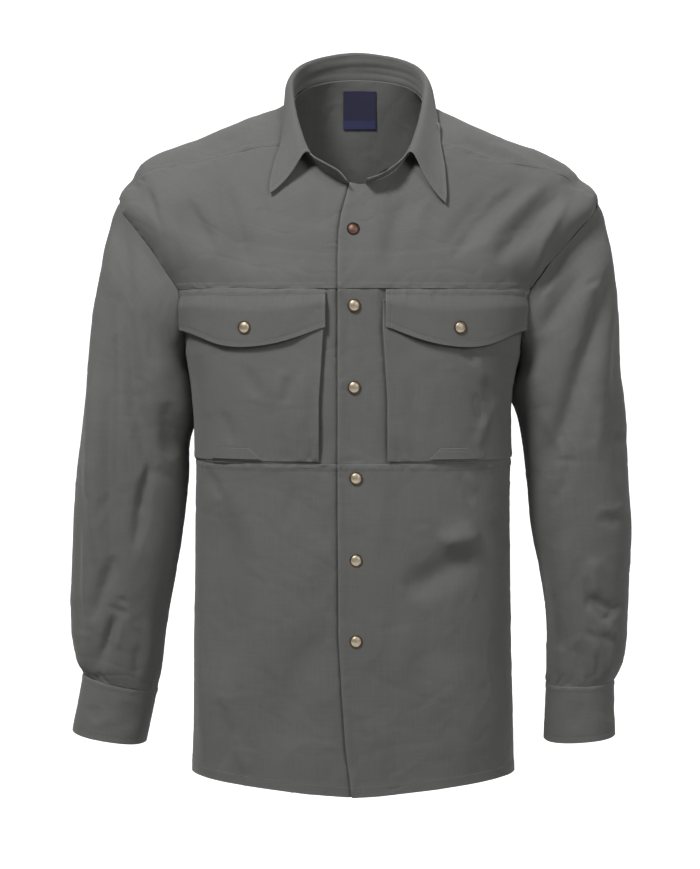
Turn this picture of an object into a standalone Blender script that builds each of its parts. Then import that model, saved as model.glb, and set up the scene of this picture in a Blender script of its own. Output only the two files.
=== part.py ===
"""A long-sleeved work shirt, standing open and filled out as when it is worn.

X runs to the wearer's left, -Y is the front, +Z is up, in metres. The origin is the middle of the
neck, at the height of the high shoulder points. The tables are in millimetres and degrees.

The body is one surface of closed rings, from the hem up to the neck seam. A point on it is given by
an angle (0 at the centre front, 90 at the wearer's left side) and a level (the ring's number, with
parts of a step between rings). Every panel of the body is cut from that surface along its seams, and
pockets, flaps and snaps are its points moved out. Each sleeve is a second surface of rings.
"""

import math
from collections import namedtuple

import bmesh
import bpy
import numpy as np

MM = 0.001

# Cloth walls and gaps
CLOTH = 1.3
COLLAR_CLOTH = 1.8
HALF_SEAM = 0.16
LAYER_GAP = 0.4

# Rings of the body, hem first. Above the chest each half of a ring tilts up to the shoulder ridge,
# and roll is how round the cloth turns over it. Square is 2 for an ellipse, and more for a fuller one.
Ring = namedtuple(
    "Ring",
    "centre_x half_width side_y side_z front_y front_z back_y back_z front_square back_square roll",
)
BODY_RINGS = (
    Ring(1, 180.5, 0, -752, -124, -756, 110, -754, 2.8, 2.6, 1.6),
    Ring(0, 177.5, 0, -640, -126, -640, 110, -640, 2.9, 2.6, 1.6),
    Ring(0, 175.5, 0, -510, -127, -510, 111, -510, 3.0, 2.6, 1.6),
    Ring(0, 174.8, 0, -397, -127, -397, 113, -397, 3.1, 2.6, 1.6),
    Ring(-1, 175, 0, -335, -127, -335, 114, -335, 3.2, 2.6, 1.6),
    Ring(0, 183, 0, -283, -126, -283, 115, -283, 3.3, 2.6, 1.6),
    Ring(1, 206, 0, -210, -124, -210, 115, -210, 2.9, 2.6, 1.6),
    Ring(6, 264, 2, -112, -117, -180, 111, -172, 2.35, 2.3, 1.6),
    Ring(3, 249, 3, -84, -114, -171, 109, -152, 2.35, 2.3, 1.6),
    Ring(-2, 224, 3, -62.5, -111, -159, 105, -126, 2.35, 2.3, 1.6),
    Ring(-3, 169, 3, -42, -106, -141, 99, -82, 2.35, 2.3, 1.6),
    Ring(0, 118, 3, -20, -99, -119, 90, -26, 2.4, 2.3, 1.6),
    Ring(6, 72, 2, -3, -90, -99, 75, 29, 1.9, 2.2, 1.0),
)
HEM_RISE = 0.095  # in levels
HEM, POCKET_SEAM, ARMPIT, CHEST_SEAM, NECK = 0, 3, 5, 6, 12

# The armhole is an oval on the body surface, at 0 degrees on the shoulder point.
ARM_LEVEL, ARM_REACH, ARM_SPREAD = 6, 1, 32
FRONT_CORNER, BACK_CORNER = 23, -42
ARM_FRONT_LOW = (180, 152, 131, 110, 90)
ARM_FRONT_HIGH = (90, 72, 55, 39, FRONT_CORNER)
ARM_YOKE = (FRONT_CORNER, 8, -8, -25, BACK_CORNER)
ARM_BACK = (BACK_CORNER, -60, -80, -100, -120, -140, -160, -180)

# Front seam of the yoke, from the neck out to the armhole
YOKE_SEAM_LEVELS = (12, 11, 10, 9, 8)
YOKE_SEAM_ANGLES = (58, 59.5, 64, 71, 75.5)
YOKE_BACK_LEVEL = 8.95
YOKE_ROWS = (0, 0.14, 0.28, 0.42, 0.55, 0.67, 0.78, 0.88, 0.95, 1)  # from the neck to the armhole

# Front edges: the wearer's left front laps over the right
Edge = namedtuple("Edge", "z x")
LEFT_EDGE = (
    Edge(-756, -1), Edge(-700, -8), Edge(-640, -12), Edge(-580, -15), Edge(-450, -16),
    Edge(-180, -16), Edge(-150, -15), Edge(-130, -12), Edge(-98, -3),
)
RIGHT_EDGE_X = 15
LAP_LIFT, LAP_FULL, LAP_END = 2.2, 24, 48

# Largest folds, as seen from the front or the back: a ridge has a positive lift, a trough a negative
Fold = namedtuple("Fold", "path half_width lift")
FRONT_FOLDS = (
    Fold(((196, -84), (150, -118), (96, -172)), 15, -4.5),
    Fold(((228, -94), (198, -126), (150, -186)), 13, -4.5),
    Fold(((214, -92), (176, -124), (128, -172)), 12, 2.5),
    Fold(((221, -112), (204, -160), (190, -225)), 12, 2.5),
    Fold(((-216, -84), (-208, -130), (-191, -225)), 12, 2.5),
    Fold(((-150, -88), (-124, -150), (-106, -200)), 14, -3.0),
    Fold(((-186, -110), (-150, -176)), 14, -3.0),
    Fold(((88, -482), (140, -474)), 16, 3.5),
    Fold(((134, -490), (84, -520), (50, -536)), 17, -4.5),
    Fold(((-142, -425), (-133, -500), (-136, -570), (-144, -660)), 20, -6.0),
    Fold(((-163, -470), (-163, -590), (-162, -740)), 13, 3.0),
    Fold(((-20, -560), (-70, -640), (-84, -720)), 24, -2.5),
    Fold(((92, -600), (120, -680), (128, -745)), 24, 2.5),
)
BACK_FOLDS = (
    Fold(((60, -200), (46, -330), (52, -470)), 22, -4.0),
    Fold(((-74, -190), (-60, -320), (-70, -440)), 22, -4.0),
    Fold(((150, -270), (116, -330), (60, -372)), 18, -4.5),
    Fold(((-152, -262), (-118, -330), (-66, -366)), 18, -4.5),
    Fold(((110, -480), (100, -600), (116, -740)), 24, 4.0),
    Fold(((-104, -470), (-92, -600), (-106, -740)), 24, 4.0),
    Fold(((4, -520), (-8, -640), (2, -744)), 26, -4.0),
)

# Sleeve rings, from the armhole down: the outer and inner points as seen from the front, and the
# depth in front and behind. The wearer's right sleeve has its own table, with X measured outwards.
SleeveRing = namedtuple("SleeveRing", "outer_x outer_z inner_x inner_z front_y back_y")
LEFT_SLEEVE = (
    SleeveRing(271, -112, 183, -283, -70, 64),
    SleeveRing(284, -150, 187, -297, -74, 67),
    SleeveRing(292, -195, 184, -311, -77, 68),
    SleeveRing(297, -245, 181, -327, -78, 68),
    SleeveRing(299, -300, 180, -350, -77, 66),
    SleeveRing(305, -355, 190, -380, -75, 62),
    SleeveRing(307, -415, 195, -423, -72, 58),
    SleeveRing(311, -475, 200, -475, -69, 52),
    SleeveRing(309, -530, 211, -532, -65, 46),
    SleeveRing(308, -580, 217, -580, -60, 40),
    SleeveRing(304, -622, 217, -622, -54, 34),
    SleeveRing(293, -647, 217.5, -651, -47, 30),
)
RIGHT_SLEEVE = (
    SleeveRing(259, -112, 183, -283, -70, 64),
    SleeveRing(273, -150, 187, -297, -74, 67),
    SleeveRing(281, -200, 184, -313, -77, 68),
    SleeveRing(288, -245, 180, -332, -78, 68),
    SleeveRing(295, -300, 179, -352, -77, 66),
    SleeveRing(302, -360, 183, -380, -75, 62),
    SleeveRing(309, -418, 184, -423, -72, 58),
    SleeveRing(313, -478, 190, -478, -69, 52),
    SleeveRing(316, -535, 200, -535, -65, 46),
    SleeveRing(317, -585, 209, -585, -60, 40),
    SleeveRing(312, -622, 214, -630, -54, 34),
    SleeveRing(303, -639, 220, -658, -47, 30),
)
SLEEVE_SQUARE = 2.3
ARMHOLE_BLEND = 1.8  # rings over which the sleeve leaves the armhole's own shape
SLEEVE_STEPS = (0, 0.3, 0.7, 1.2, 1.7, 2.3, 2.9, 3.5, 4.1, 4.7, 5.3, 5.9, 6.4, 6.9, 7.4, 7.9, 8.4,
                8.9, 9.4, 9.8, 10.2, 10.6, 11)
LEFT_SLEEVE_FOLDS = (
    Fold(((252, -188), (222, -232), (202, -262)), 11, -5.0),
    Fold(((288, -190), (268, -245), (254, -284), (232, -350), (214, -392), (204, -420)), 12, -6.0),
    Fold(((292, -270), (290, -330), (292, -405)), 9, -3.0),
    Fold(((290, -372), (308, -382)), 9, -4.0),
    Fold(((218, -398), (244, -396)), 8, -3.0),
    Fold(((278, -458), (308, -463)), 8, -3.5),
    Fold(((262, -552), (284, -562), (300, -556)), 9, -7.0),
    Fold(((262, -590), (284, -598)), 8, -4.0),
    Fold(((264, -500), (262, -550)), 10, 3.0),
    Fold(((238, -470), (228, -540), (232, -600)), 13, 3.0),
)
RIGHT_SLEEVE_FOLDS = (
    Fold(((248, -130), (246, -220), (240, -330), (222, -410)), 14, -5.0),
    Fold(((268, -200), (278, -320), (276, -380), (268, -440)), 14, 4.0),
    Fold(((276, -385), (272, -470), (264, -500), (292, -585)), 12, -5.5),
    Fold(((226, -396), (238, -470)), 11, -4.5),
    Fold(((204, -330), (198, -400)), 10, -4.0),
    Fold(((262, -560), (250, -566)), 9, -4.0),
    Fold(((264, -578), (282, -630)), 10, -4.0),
    Fold(((304, -450), (306, -560), (302, -620)), 9, -3.5),
)

# Cuffs: each hangs from its sleeve's last ring, and its lapped end lies on the outer back
LEFT_CUFF_END = SleeveRing(295, -708, 215, -714, -47, 31)
RIGHT_CUFF_END = SleeveRing(316, -703, 233, -717, -47, 31)
CUFF_START, CUFF_TURN, CUFF_LIFT = -70, 384, 2.3
CUFF_CLOTH = 1.6

# Collar, from the centre back round to the front. The stand stands on the neck seam at the angle
# foot, its top has its places in space, with X from the neck's middle, and the leaf's edge lies on
# the body. Beyond STAND_TOP's last point it carries no leaf, and its two ends fall differently.
StandPoint = namedtuple("StandPoint", "foot x y z")
STAND_TOP = (
    StandPoint(180, 0, 70, 56.5), StandPoint(140, 49, 54, 47), StandPoint(106, 71, 20, 27),
    StandPoint(76, 70.5, -22, -6), StandPoint(51, 61.5, -58, -42), StandPoint(35, 52.5, -80, -64),
)
STAND_FRONT = {
    1: (StandPoint(23, 37, -101, -80), StandPoint(13.5, 22, -107, -89), StandPoint(6, 9.5, -108, -93)),
    -1: (StandPoint(23, 37, -97, -75), StandPoint(14, 22, -104, -84), StandPoint(9, 13, -106, -94)),
}
LeafPoint = namedtuple("LeafPoint", "angle left_level right_level")
LEAF_EDGE = (
    LeafPoint(180, 11.62, 11.62), LeafPoint(136, 11.7, 11.7), LeafPoint(98, 11.8, 11.9),
    LeafPoint(64, 11.37, 11.63), LeafPoint(47, 10.8, 11.14), LeafPoint(35, 10.0, 10.5),
)
LEAF_LIFT = 4.5
STAND_COLUMNS, LEAF_COLUMNS = 24, 15  # on each side, so that both have the same ones
STAND_ROWS = (0, 0.33, 0.66, 1)
LEAF_ROWS = (0, 0.07, 0.15, 0.24, 0.36, 0.54, 0.77, 1)
ROLL_RISE, ROLL_OUT, LEAF_OUT, LEAF_DROP = 12, 3.5, 13, 0.5
STAND_SEAT = 1.2  # the stand laps the neck edge from outside
STAND_SNAP, STAND_SNAP_HEIGHT = 0.81, 0.7

# Chest pockets, flaps and the small tabs at the pockets' lower edges
POCKET_INNER = (Edge(-393, 37), Edge(-330, 37), Edge(-251, 32), Edge(-224, 32))
POCKET_LIFT, BELLOWS = 0.5, 3.2
FLAP_INNER = {1: 35, -1: 30}
FLAP_TOP, FLAP_CORNER, FLAP_DROP, FLAP_LIFT = -211.5, -251, 21, 4.2
TAB_MIDDLE, TAB_FOOT, TAB_HEAD, TAB_LOW, TAB_HIGH = {1: 107, -1: -124}, 52, 28, -392, -381

# Snaps: a domed cap with a rolled rim
SNAP_RADIUS, SNAP_SIDES = 7.0, 12
SNAP_PROFILE = ((0.55, 0), (1.0, 0.25), (1.0, 1.3), (0.86, 1.9), (0.72, 1.7), (0.4, 2.6))
PLACKET_SNAPS = (Edge(-147, 0), Edge(-228, 1), Edge(-315, 1), Edge(-412, 3), Edge(-500, 3), Edge(-587, 3))
FLAP_SNAPS = {1: 112, -1: -114}
FLAP_SNAP_Z = -251

# Neck label, plain
LABEL_MIDDLE, LABEL_WIDTH, LABEL_TOP, LABEL_DROP = 8, 37, 18, 43
LABEL_CLOTH, LABEL_GAP = 1.0, 0.8


def along(rows, level):
    """Smooth curve through the rows of a table, read at these levels."""
    rows = np.asarray(rows, float)
    padded = np.vstack([2 * rows[0] - rows[1], rows, 2 * rows[-1] - rows[-2]])
    level = np.asarray(level, float)
    step = np.clip(np.floor(level).astype(int), 0, len(rows) - 2)
    t = (level - step)[..., None]
    before, start, end, after = (padded[step + k] for k in range(4))
    return 0.5 * (
        2 * start
        + (end - before) * t
        + (2 * before - 5 * start + 4 * end - after) * t**2
        + (3 * start - before - 3 * end + after) * t**3
    )


def unit(vectors):
    return vectors / np.maximum(np.linalg.norm(vectors, axis=-1, keepdims=True), 1e-9)


def smooth(x):
    x = np.clip(x, 0, 1)
    return x * x * (3 - 2 * x)


def fold_lift(x, z, folds):
    """How far the folds push the cloth out at these places, seen from the front."""
    lift = np.zeros(np.shape(x))
    for fold in folds:
        path = np.array(fold.path, float)
        steps = path[1:] - path[:-1]
        lengths = np.linalg.norm(steps, axis=1)
        starts = np.concatenate([[0], np.cumsum(lengths)])
        nearest = np.full(np.shape(x), np.inf)
        progress = np.zeros(np.shape(x))
        for start, step, length, before in zip(path, steps, lengths, starts):
            share = ((x - start[0]) * step[0] + (z - start[1]) * step[1]) / length**2
            share = np.clip(share, 0, 1)
            away = np.hypot(x - start[0] - share * step[0], z - start[1] - share * step[1])
            closer = away < nearest
            nearest = np.where(closer, away, nearest)
            progress = np.where(closer, (before + share * length) / starts[-1], progress)
        fade = np.sqrt(np.clip(4 * progress * (1 - progress), 0, 1))
        lift += fold.lift * fade * np.exp(-((nearest / fold.half_width) ** 2))
    return lift


# Body surface


def oval(angle, square):
    """Across and ahead of a rounded oval of half size 1, at this angle from straight ahead."""
    across, ahead = np.sin(angle), np.abs(np.cos(angle))
    reach = (np.abs(across) ** square + ahead**square) ** (-1 / square)
    return across * reach, ahead * reach


def plain_body(angle, level):
    ring = Ring(*np.moveaxis(along(BODY_RINGS, level), -1, 0))
    front = np.cos(angle) > 0
    across, ahead = oval(angle, np.where(front, ring.front_square, ring.back_square))
    far_y = np.where(front, ring.front_y, ring.back_y)
    far_z = np.where(front, ring.front_z, ring.back_z)
    x = ring.centre_x + ring.half_width * across
    y = ring.side_y + (far_y - ring.side_y) * ahead
    z = ring.side_z + (far_z - ring.side_z) * ahead**ring.roll
    return np.stack([x, y, z], axis=-1)


def normals_of(surface, first, second, sign=1):
    """Outward unit normals of a surface, from small steps in its two parameters."""
    step = 1e-3
    across = surface(first + step, second) - surface(first - step, second)
    up = surface(first, second + step) - surface(first, second - step)
    return sign * unit(np.cross(across, up))


def folded_body(angle, level):
    base = plain_body(angle, level)
    out = normals_of(plain_body, angle, level)
    x, z = base[..., 0], base[..., 2]
    side = smooth(1.6 * np.abs(np.cos(angle)))
    front = fold_lift(x, z, FRONT_FOLDS)
    back = fold_lift(x, z, BACK_FOLDS)
    lift = np.where(np.cos(angle) > 0, front, back) * side
    return base + out * lift[..., None]


def body(angle, level, out=0.0):
    """Points of the body cloth's outer face, moved out along its normals."""
    angle, level = np.broadcast_arrays(np.asarray(angle, float), np.asarray(level, float))
    normals = normals_of(folded_body, angle, level)
    return folded_body(angle, level) + normals * np.broadcast_to(out, angle.shape)[..., None]


def front_level(z):
    """Level of the ring that passes the centre front at this height."""
    levels = np.linspace(HEM, NECK, 221)
    return np.interp(z, along(BODY_RINGS, levels)[:, 5], levels)


def front_angle(x, level):
    """Angle on the front at which a ring reaches this x."""
    ring = Ring(*np.moveaxis(along(BODY_RINGS, level), -1, 0))
    share = np.clip((x - ring.centre_x) / ring.half_width, -0.999, 0.999)
    ahead = (1 - np.abs(share) ** ring.front_square) ** (1 / ring.front_square)
    return np.arctan2(share, ahead)


def arm_place(turn):
    """Angle and level of the armhole, for the wearer's left."""
    turn = np.radians(turn)
    return np.radians(90 - ARM_SPREAD * np.sin(turn)), ARM_LEVEL + ARM_REACH * np.cos(turn)


def arm_angle(level):
    """Angle of the armhole's front edge at a level, and of the side seam below the armhole."""
    reach = np.sqrt(np.clip(1 - ((level - ARM_LEVEL) / ARM_REACH) ** 2, 0, 1))
    return np.radians(90 - ARM_SPREAD * np.where(level > ARMPIT, reach, 0))


def yoke_seam_angle(level):
    corner_angle, corner_level = arm_place(FRONT_CORNER)
    levels = (corner_level, *reversed(YOKE_SEAM_LEVELS))
    angles = (corner_angle, *np.radians(YOKE_SEAM_ANGLES[::-1]))
    rows = np.array(angles)[:, None]
    return along(rows, np.interp(level, levels, range(len(levels))))[..., 0]


# Solids


def finish(name, points, faces, material, sharp=40):
    mesh = bpy.data.meshes.new(name)
    mesh.from_pydata((points * MM).tolist(), [], faces)
    shape = bmesh.new()
    shape.from_mesh(mesh)
    bmesh.ops.recalc_face_normals(shape, faces=shape.faces[:])
    bmesh.ops.triangulate(shape, faces=shape.faces[:])
    shape.to_mesh(mesh)
    shape.free()
    mesh.shade_smooth()
    mesh.set_sharp_from_angle(angle=math.radians(sharp))
    mesh.materials.append(material)
    piece = bpy.data.objects.new(name, mesh)
    bpy.context.scene.collection.objects.link(piece)
    return piece


def wall(name, outer, inner, material, tube=False):
    """A closed sheet of cloth between two grids of points. A tube's last column meets its first."""
    rows, columns = outer.shape[:2]
    points = np.concatenate([outer.reshape(-1, 3), inner.reshape(-1, 3)])
    under = rows * columns

    def at(row, column):
        return row * columns + column % columns

    faces = []
    for row in range(rows - 1):
        for column in range(columns if tube else columns - 1):
            quad = [at(row, column), at(row, column + 1), at(row + 1, column + 1), at(row + 1, column)]
            faces.append(quad)
            faces.append([under + corner for corner in reversed(quad)])
    rim = []
    for column in range(columns if tube else columns - 1):
        rim.append((at(0, column), at(0, column + 1)))
        rim.append((at(rows - 1, column + 1), at(rows - 1, column)))
    if not tube:
        for row in range(rows - 1):
            rim.append((at(row + 1, 0), at(row, 0)))
            rim.append((at(row, columns - 1), at(row + 1, columns - 1)))
    faces.extend([first, under + first, under + second, second] for first, second in rim)
    return finish(name, points, faces, material)


def pulled_in(grid, seams):
    """The grid with the named edges moved in by half a seam's gap."""
    grid = grid.copy()
    edges = {"first_row": (0, 1), "last_row": (-1, -2)}
    for seam in seams:
        if seam in edges:
            edge, beside = edges[seam]
            grid[edge] += unit(grid[beside] - grid[edge]) * HALF_SEAM
        else:
            edge, beside = (0, 1) if seam == "first_column" else (-1, -2)
            grid[:, edge] += unit(grid[:, beside] - grid[:, edge]) * HALF_SEAM
    return grid


def body_panel(name, angle, level, material, seams, lift=0.0, cloth=CLOTH):
    """A panel of the body: its outer face lies lift above the body surface."""
    outer = pulled_in(body(angle, level, lift), seams)
    inner = pulled_in(body(angle, level, np.asarray(lift) - cloth), seams)
    return wall(name, outer, inner, material)


# Front panels


def edge_x(side, level):
    """X of a front's free edge at these levels."""
    if side < 0:
        return np.full(np.shape(level), RIGHT_EDGE_X, float)
    height = along(BODY_RINGS, level)[..., 5]
    return np.interp(height, [edge.z for edge in LEFT_EDGE], [edge.x for edge in LEFT_EDGE])


def front_grid(side, left_levels, outer_angles, outer_levels):
    """Angles and levels of a front, from its free edge to the side seam, armhole or yoke."""
    left_levels, outer_angles, outer_levels = map(np.asarray, (left_levels, outer_angles, outer_levels))
    share = np.linspace(0, 1, FRONT_COLUMNS + 1)[None, :]
    edge = front_angle(edge_x(side, left_levels), left_levels)[:, None]
    angle = edge + (side * outer_angles[:, None] - edge) * share
    level = left_levels[:, None] + (outer_levels - left_levels)[:, None] * share
    return angle, level


def hem_rise(angle, level):
    """The hem curves up a little on its way from the centre to the side seam."""
    from_centre = np.minimum(np.abs(angle), np.abs(math.pi - np.abs(angle)))
    return level + HEM_RISE * np.sin(1.7 * from_centre) ** 1.5 * np.clip(1 - level, 0, 1)


def lap_lift(side, angle, level):
    """The wearer's left front rises over the right one near the centre."""
    if side < 0:
        return np.zeros(angle.shape)
    x = plain_body(angle, level)[..., 0]
    return LAP_LIFT * smooth((LAP_END - x) / (LAP_END - LAP_FULL))


SEAM_SIDE = math.pi / 2
FRONT_COLUMNS = 12
LOWER_LEVELS = np.concatenate([[HEM, 0.08], np.linspace(0.25, POCKET_SEAM, 12)])
MIDDLE_LEVELS = np.linspace(POCKET_SEAM, ARMPIT, 6)
POCKET_LEVELS = (POCKET_SEAM + 0.03, *MIDDLE_LEVELS[1:], *arm_place(np.array(ARM_FRONT_LOW[1:4]))[1], 5.8)


def make_fronts(material):
    for side, owner in ((1, "left"), (-1, "right")):
        flat = np.full(LOWER_LEVELS.shape, SEAM_SIDE)
        angle, level = front_grid(side, LOWER_LEVELS, flat, LOWER_LEVELS)
        level = hem_rise(angle, level)
        lift = lap_lift(side, angle, level)
        seams = ("last_row", "last_column")
        body_panel(f"front_lower_{owner}", angle, level, material, seams, lift)

        low_angle, low_level = arm_place(np.array(ARM_FRONT_LOW[1:]))
        outer_angle = np.concatenate([np.full(MIDDLE_LEVELS.shape, SEAM_SIDE), low_angle])
        outer_level = np.concatenate([MIDDLE_LEVELS, low_level])
        angle, level = front_grid(side, outer_level, outer_angle, outer_level)
        lift = lap_lift(side, angle, level)
        seams = ("first_row", "last_row", "last_column")
        body_panel(f"front_middle_{owner}", angle, level, material, seams, lift)

        arm_angle, arm_level = arm_place(np.array(ARM_FRONT_HIGH))
        seam_levels = NECK - np.array(YOKE_ROWS[-2::-1]) * (NECK - arm_level[-1])
        outer_angle = np.concatenate([arm_angle, yoke_seam_angle(seam_levels)])
        outer_level = np.concatenate([arm_level, seam_levels])
        left_levels = np.linspace(CHEST_SEAM, NECK, len(outer_level))
        angle, level = front_grid(side, left_levels, outer_angle, outer_level)
        lift = lap_lift(side, angle, level)
        body_panel(f"front_upper_{owner}", angle, level, material, ("first_row", "last_column"), lift)


# Yoke and back


def back_seam(share):
    """Angle and level of the yoke's back seam, from the armhole (0) to the centre back (1)."""
    angle, level = arm_place(BACK_CORNER)
    rise = np.sin(share * math.pi / 2) ** 1.15
    return angle + (math.pi - angle) * share, level + (YOKE_BACK_LEVEL - level) * rise


BACK_SHARES = np.linspace(0, 1, 12)


def make_yoke(material):
    seam_angle, seam_level = back_seam(BACK_SHARES[1:])
    arm_angle, arm_level = arm_place(np.array(ARM_YOKE))
    half_angle = np.concatenate([arm_angle, seam_angle])
    half_level = np.concatenate([arm_level, seam_level])
    start = math.radians(YOKE_SEAM_ANGLES[0])
    arm_end = math.radians(78)
    inner = np.concatenate([
        np.linspace(start, arm_end, len(arm_angle)),
        np.linspace(arm_end, math.pi, len(BACK_SHARES))[1:],
    ])
    outer_angle = np.concatenate([half_angle, 2 * math.pi - half_angle[-2::-1]])
    outer_level = np.concatenate([half_level, half_level[-2::-1]])
    inner_angle = np.concatenate([inner, 2 * math.pi - inner[-2::-1]])
    corner_level = arm_level[0]
    corner_angle = arm_angle[0]
    share = np.array(YOKE_ROWS)[:, None]
    bend = (yoke_seam_angle(NECK - share * (NECK - corner_level)) - start) / (corner_angle - start)
    straight = np.abs(outer_angle - math.pi) / (math.pi - corner_angle)
    turn = share + (bend - share) * straight**2
    angle = inner_angle + (outer_angle - inner_angle) * turn
    level = NECK + (outer_level - NECK) * share
    body_panel("yoke", angle, level, material, ("last_row", "first_column", "last_column"))


def make_back(material):
    seam_angle, seam_level = back_seam(BACK_SHARES)
    arm_angle, arm_level = arm_place(np.array(ARM_BACK[::-1][1:]))
    side_levels = np.concatenate([LOWER_LEVELS, MIDDLE_LEVELS[1:], arm_level])
    side_angles = np.concatenate([
        np.full(len(LOWER_LEVELS) + len(MIDDLE_LEVELS) - 1, SEAM_SIDE), arm_angle,
    ])
    climb = np.clip((side_levels - ARMPIT) / (side_levels[-1] - ARMPIT), 0, 1)[:, None]
    share = (seam_angle - seam_angle[0]) / (math.pi - seam_angle[0])
    angle = side_angles[:, None] + (math.pi - side_angles[:, None]) * share
    level = side_levels[:, None] + (seam_level - seam_level[0]) * climb
    level = hem_rise(angle, level)
    angle = np.concatenate([angle, 2 * math.pi - angle[:, -2::-1]], axis=1)
    level = np.concatenate([level, level[:, -2::-1]], axis=1)
    body_panel("back", angle, level, material, ("last_row", "first_column", "last_column"))


# Sleeves and cuffs


def tube_ring(ring, side, turn):
    """Points of a sleeve ring. Turn is 0 at its outer point and 90 degrees in front."""
    across, ahead = oval(turn, SLEEVE_SQUARE)
    out = np.where(np.cos(turn) > 0, ahead, -ahead)
    middle_x, middle_z = (ring.outer_x + ring.inner_x) / 2, (ring.outer_z + ring.inner_z) / 2
    half_x, half_z = (ring.outer_x - ring.inner_x) / 2, (ring.outer_z - ring.inner_z) / 2
    depth = np.where(across > 0, -ring.front_y, ring.back_y)
    x = side * (middle_x + half_x * out)
    return np.stack([x, -depth * across, middle_z + half_z * out], axis=-1)


def sleeve(side, turn, step):
    """Points of a sleeve's outer face: turn in radians round it, step in rings down it."""
    table = LEFT_SLEEVE if side > 0 else RIGHT_SLEEVE
    folds = LEFT_SLEEVE_FOLDS if side > 0 else RIGHT_SLEEVE_FOLDS
    turn, step = np.broadcast_arrays(np.asarray(turn, float), np.asarray(step, float))

    def plain(turn, step):
        ring = SleeveRing(*np.moveaxis(along(table, step), -1, 0))
        angle, level = arm_place(np.degrees(turn))
        loop = plain_body(side * angle, level)
        first = tube_ring(SleeveRing(*np.moveaxis(along(table, 0 * step), -1, 0)), side, turn)
        stay = 1 - smooth(step / ARMHOLE_BLEND)
        return tube_ring(ring, side, turn) + (loop - first) * stay[..., None]

    base = plain(turn, step)
    out = normals_of(plain, turn, step, side)
    lift = fold_lift(side * base[..., 0], base[..., 2], folds) * smooth(1.6 * np.sin(turn))
    lift = lift * smooth(step / 0.8)
    return base + out * lift[..., None], out


def make_sleeve(side, owner, material):
    turns = ARM_YOKE[::-1][:-1] + ARM_FRONT_HIGH[::-1][:-1] + ARM_FRONT_LOW[::-1][:-1]
    turns = np.radians(np.array(turns + tuple(turn + 360 for turn in ARM_BACK[::-1][:-1])))
    steps = np.array(SLEEVE_STEPS)
    outer, out = sleeve(side, turns[None, :], steps[:, None])
    flow = unit(outer[1] - outer[0])
    angle, level = arm_place(np.degrees(turns))
    away = normals_of(folded_body, side * angle, level)
    start = folded_body(side * angle, level)
    outer[0] = start + (flow + away) * HALF_SEAM * 1.6
    inner = outer - out * CLOTH
    wall(f"sleeve_{owner}", outer, inner, material, tube=True)


def cuff_points(side, share, turn, lift):
    table = LEFT_SLEEVE if side > 0 else RIGHT_SLEEVE
    end = LEFT_CUFF_END if side > 0 else RIGHT_CUFF_END
    rings = np.array(table[-1]) + (np.array(end) - np.array(table[-1])) * share[..., None]
    ring = SleeveRing(*np.moveaxis(rings, -1, 0))

    def plain(turn, share):
        return tube_ring(ring, side, turn)

    around = plain(turn + 1e-3, share) - plain(turn - 1e-3, share)
    down = np.array([0, 0, -1.0])
    out = side * unit(np.cross(around, np.broadcast_to(down, around.shape)))
    return plain(turn, share) + out * lift[..., None]


def make_cuff(side, owner, material):
    turns = np.radians(CUFF_START + np.linspace(0, CUFF_TURN, 27))
    turn, share = np.meshgrid(turns, np.linspace(0.012, 1, 4))
    travelled = np.degrees(turn) - CUFF_START
    lift = CUFF_LIFT * smooth((travelled - CUFF_TURN + 66) / 40)
    outer = cuff_points(side, share, turn, lift)
    inner = cuff_points(side, share, turn, lift - CUFF_CLOTH)
    wall(f"cuff_{owner}", outer, inner, material)
    snap_at(f"cuff_snap_{owner}", *cuff_snap_place(side), material=MATERIALS["snap"])


def cuff_snap_place(side):
    turn = np.radians(CUFF_START + CUFF_TURN - 12)
    share = np.array(0.5)
    on = cuff_points(side, share, np.array(turn), np.array(CUFF_LIFT + LAYER_GAP))
    beyond = cuff_points(side, share, np.array(turn), np.array(CUFF_LIFT + 10.0))
    return on, unit(beyond - on)


# Collar


def both_sides(left, right, share):
    """A line from the wearer's right (-1) over the centre back (0) to the left (1). The tables run
    from the back to the front, and their first two columns change sign on the right."""
    right = [(-first, -second, *rest) for first, second, *rest in right[:0:-1]]
    return along(right + list(left), (np.asarray(share, float) + 1) * (len(left) - 1))


def stand_line(share):
    """Angle from the centre back of the stand's foot, and the place of its top."""
    left, right = (
        [(180 - row.foot, row.x, row.y, row.z) for row in STAND_TOP + STAND_FRONT[side]]
        for side in (1, -1)
    )
    line = both_sides(left, right, share)
    return np.radians(line[..., 0]), line[..., 1:] + [BODY_RINGS[NECK].centre_x, 0, 0]


def stand_top(share):
    return stand_line(share)[1]


def leaf_fold(share):
    """The part of the stand's top that carries the leaf, which ends before the stand does."""
    return stand_top(fold_share(share))


def fold_share(share):
    last = len(STAND_TOP) - 1
    return np.asarray(share, float) * last / (last + len(STAND_FRONT[1]))


def leaf_edge(share):
    left = [(180 - row.angle, 0, row.left_level) for row in LEAF_EDGE]
    right = [(180 - row.angle, 0, row.right_level) for row in LEAF_EDGE]
    line = both_sides(left, right, share)
    return body(math.pi - np.radians(line[..., 0]), line[..., 2], LEAF_LIFT)


def level_out(curve, share):
    """Outward direction of a collar line, level with the ground."""
    tangent = curve(share + 1e-3) - curve(share - 1e-3)
    return unit(np.stack([-tangent[..., 1], tangent[..., 0], 0 * share], axis=-1))


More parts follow.
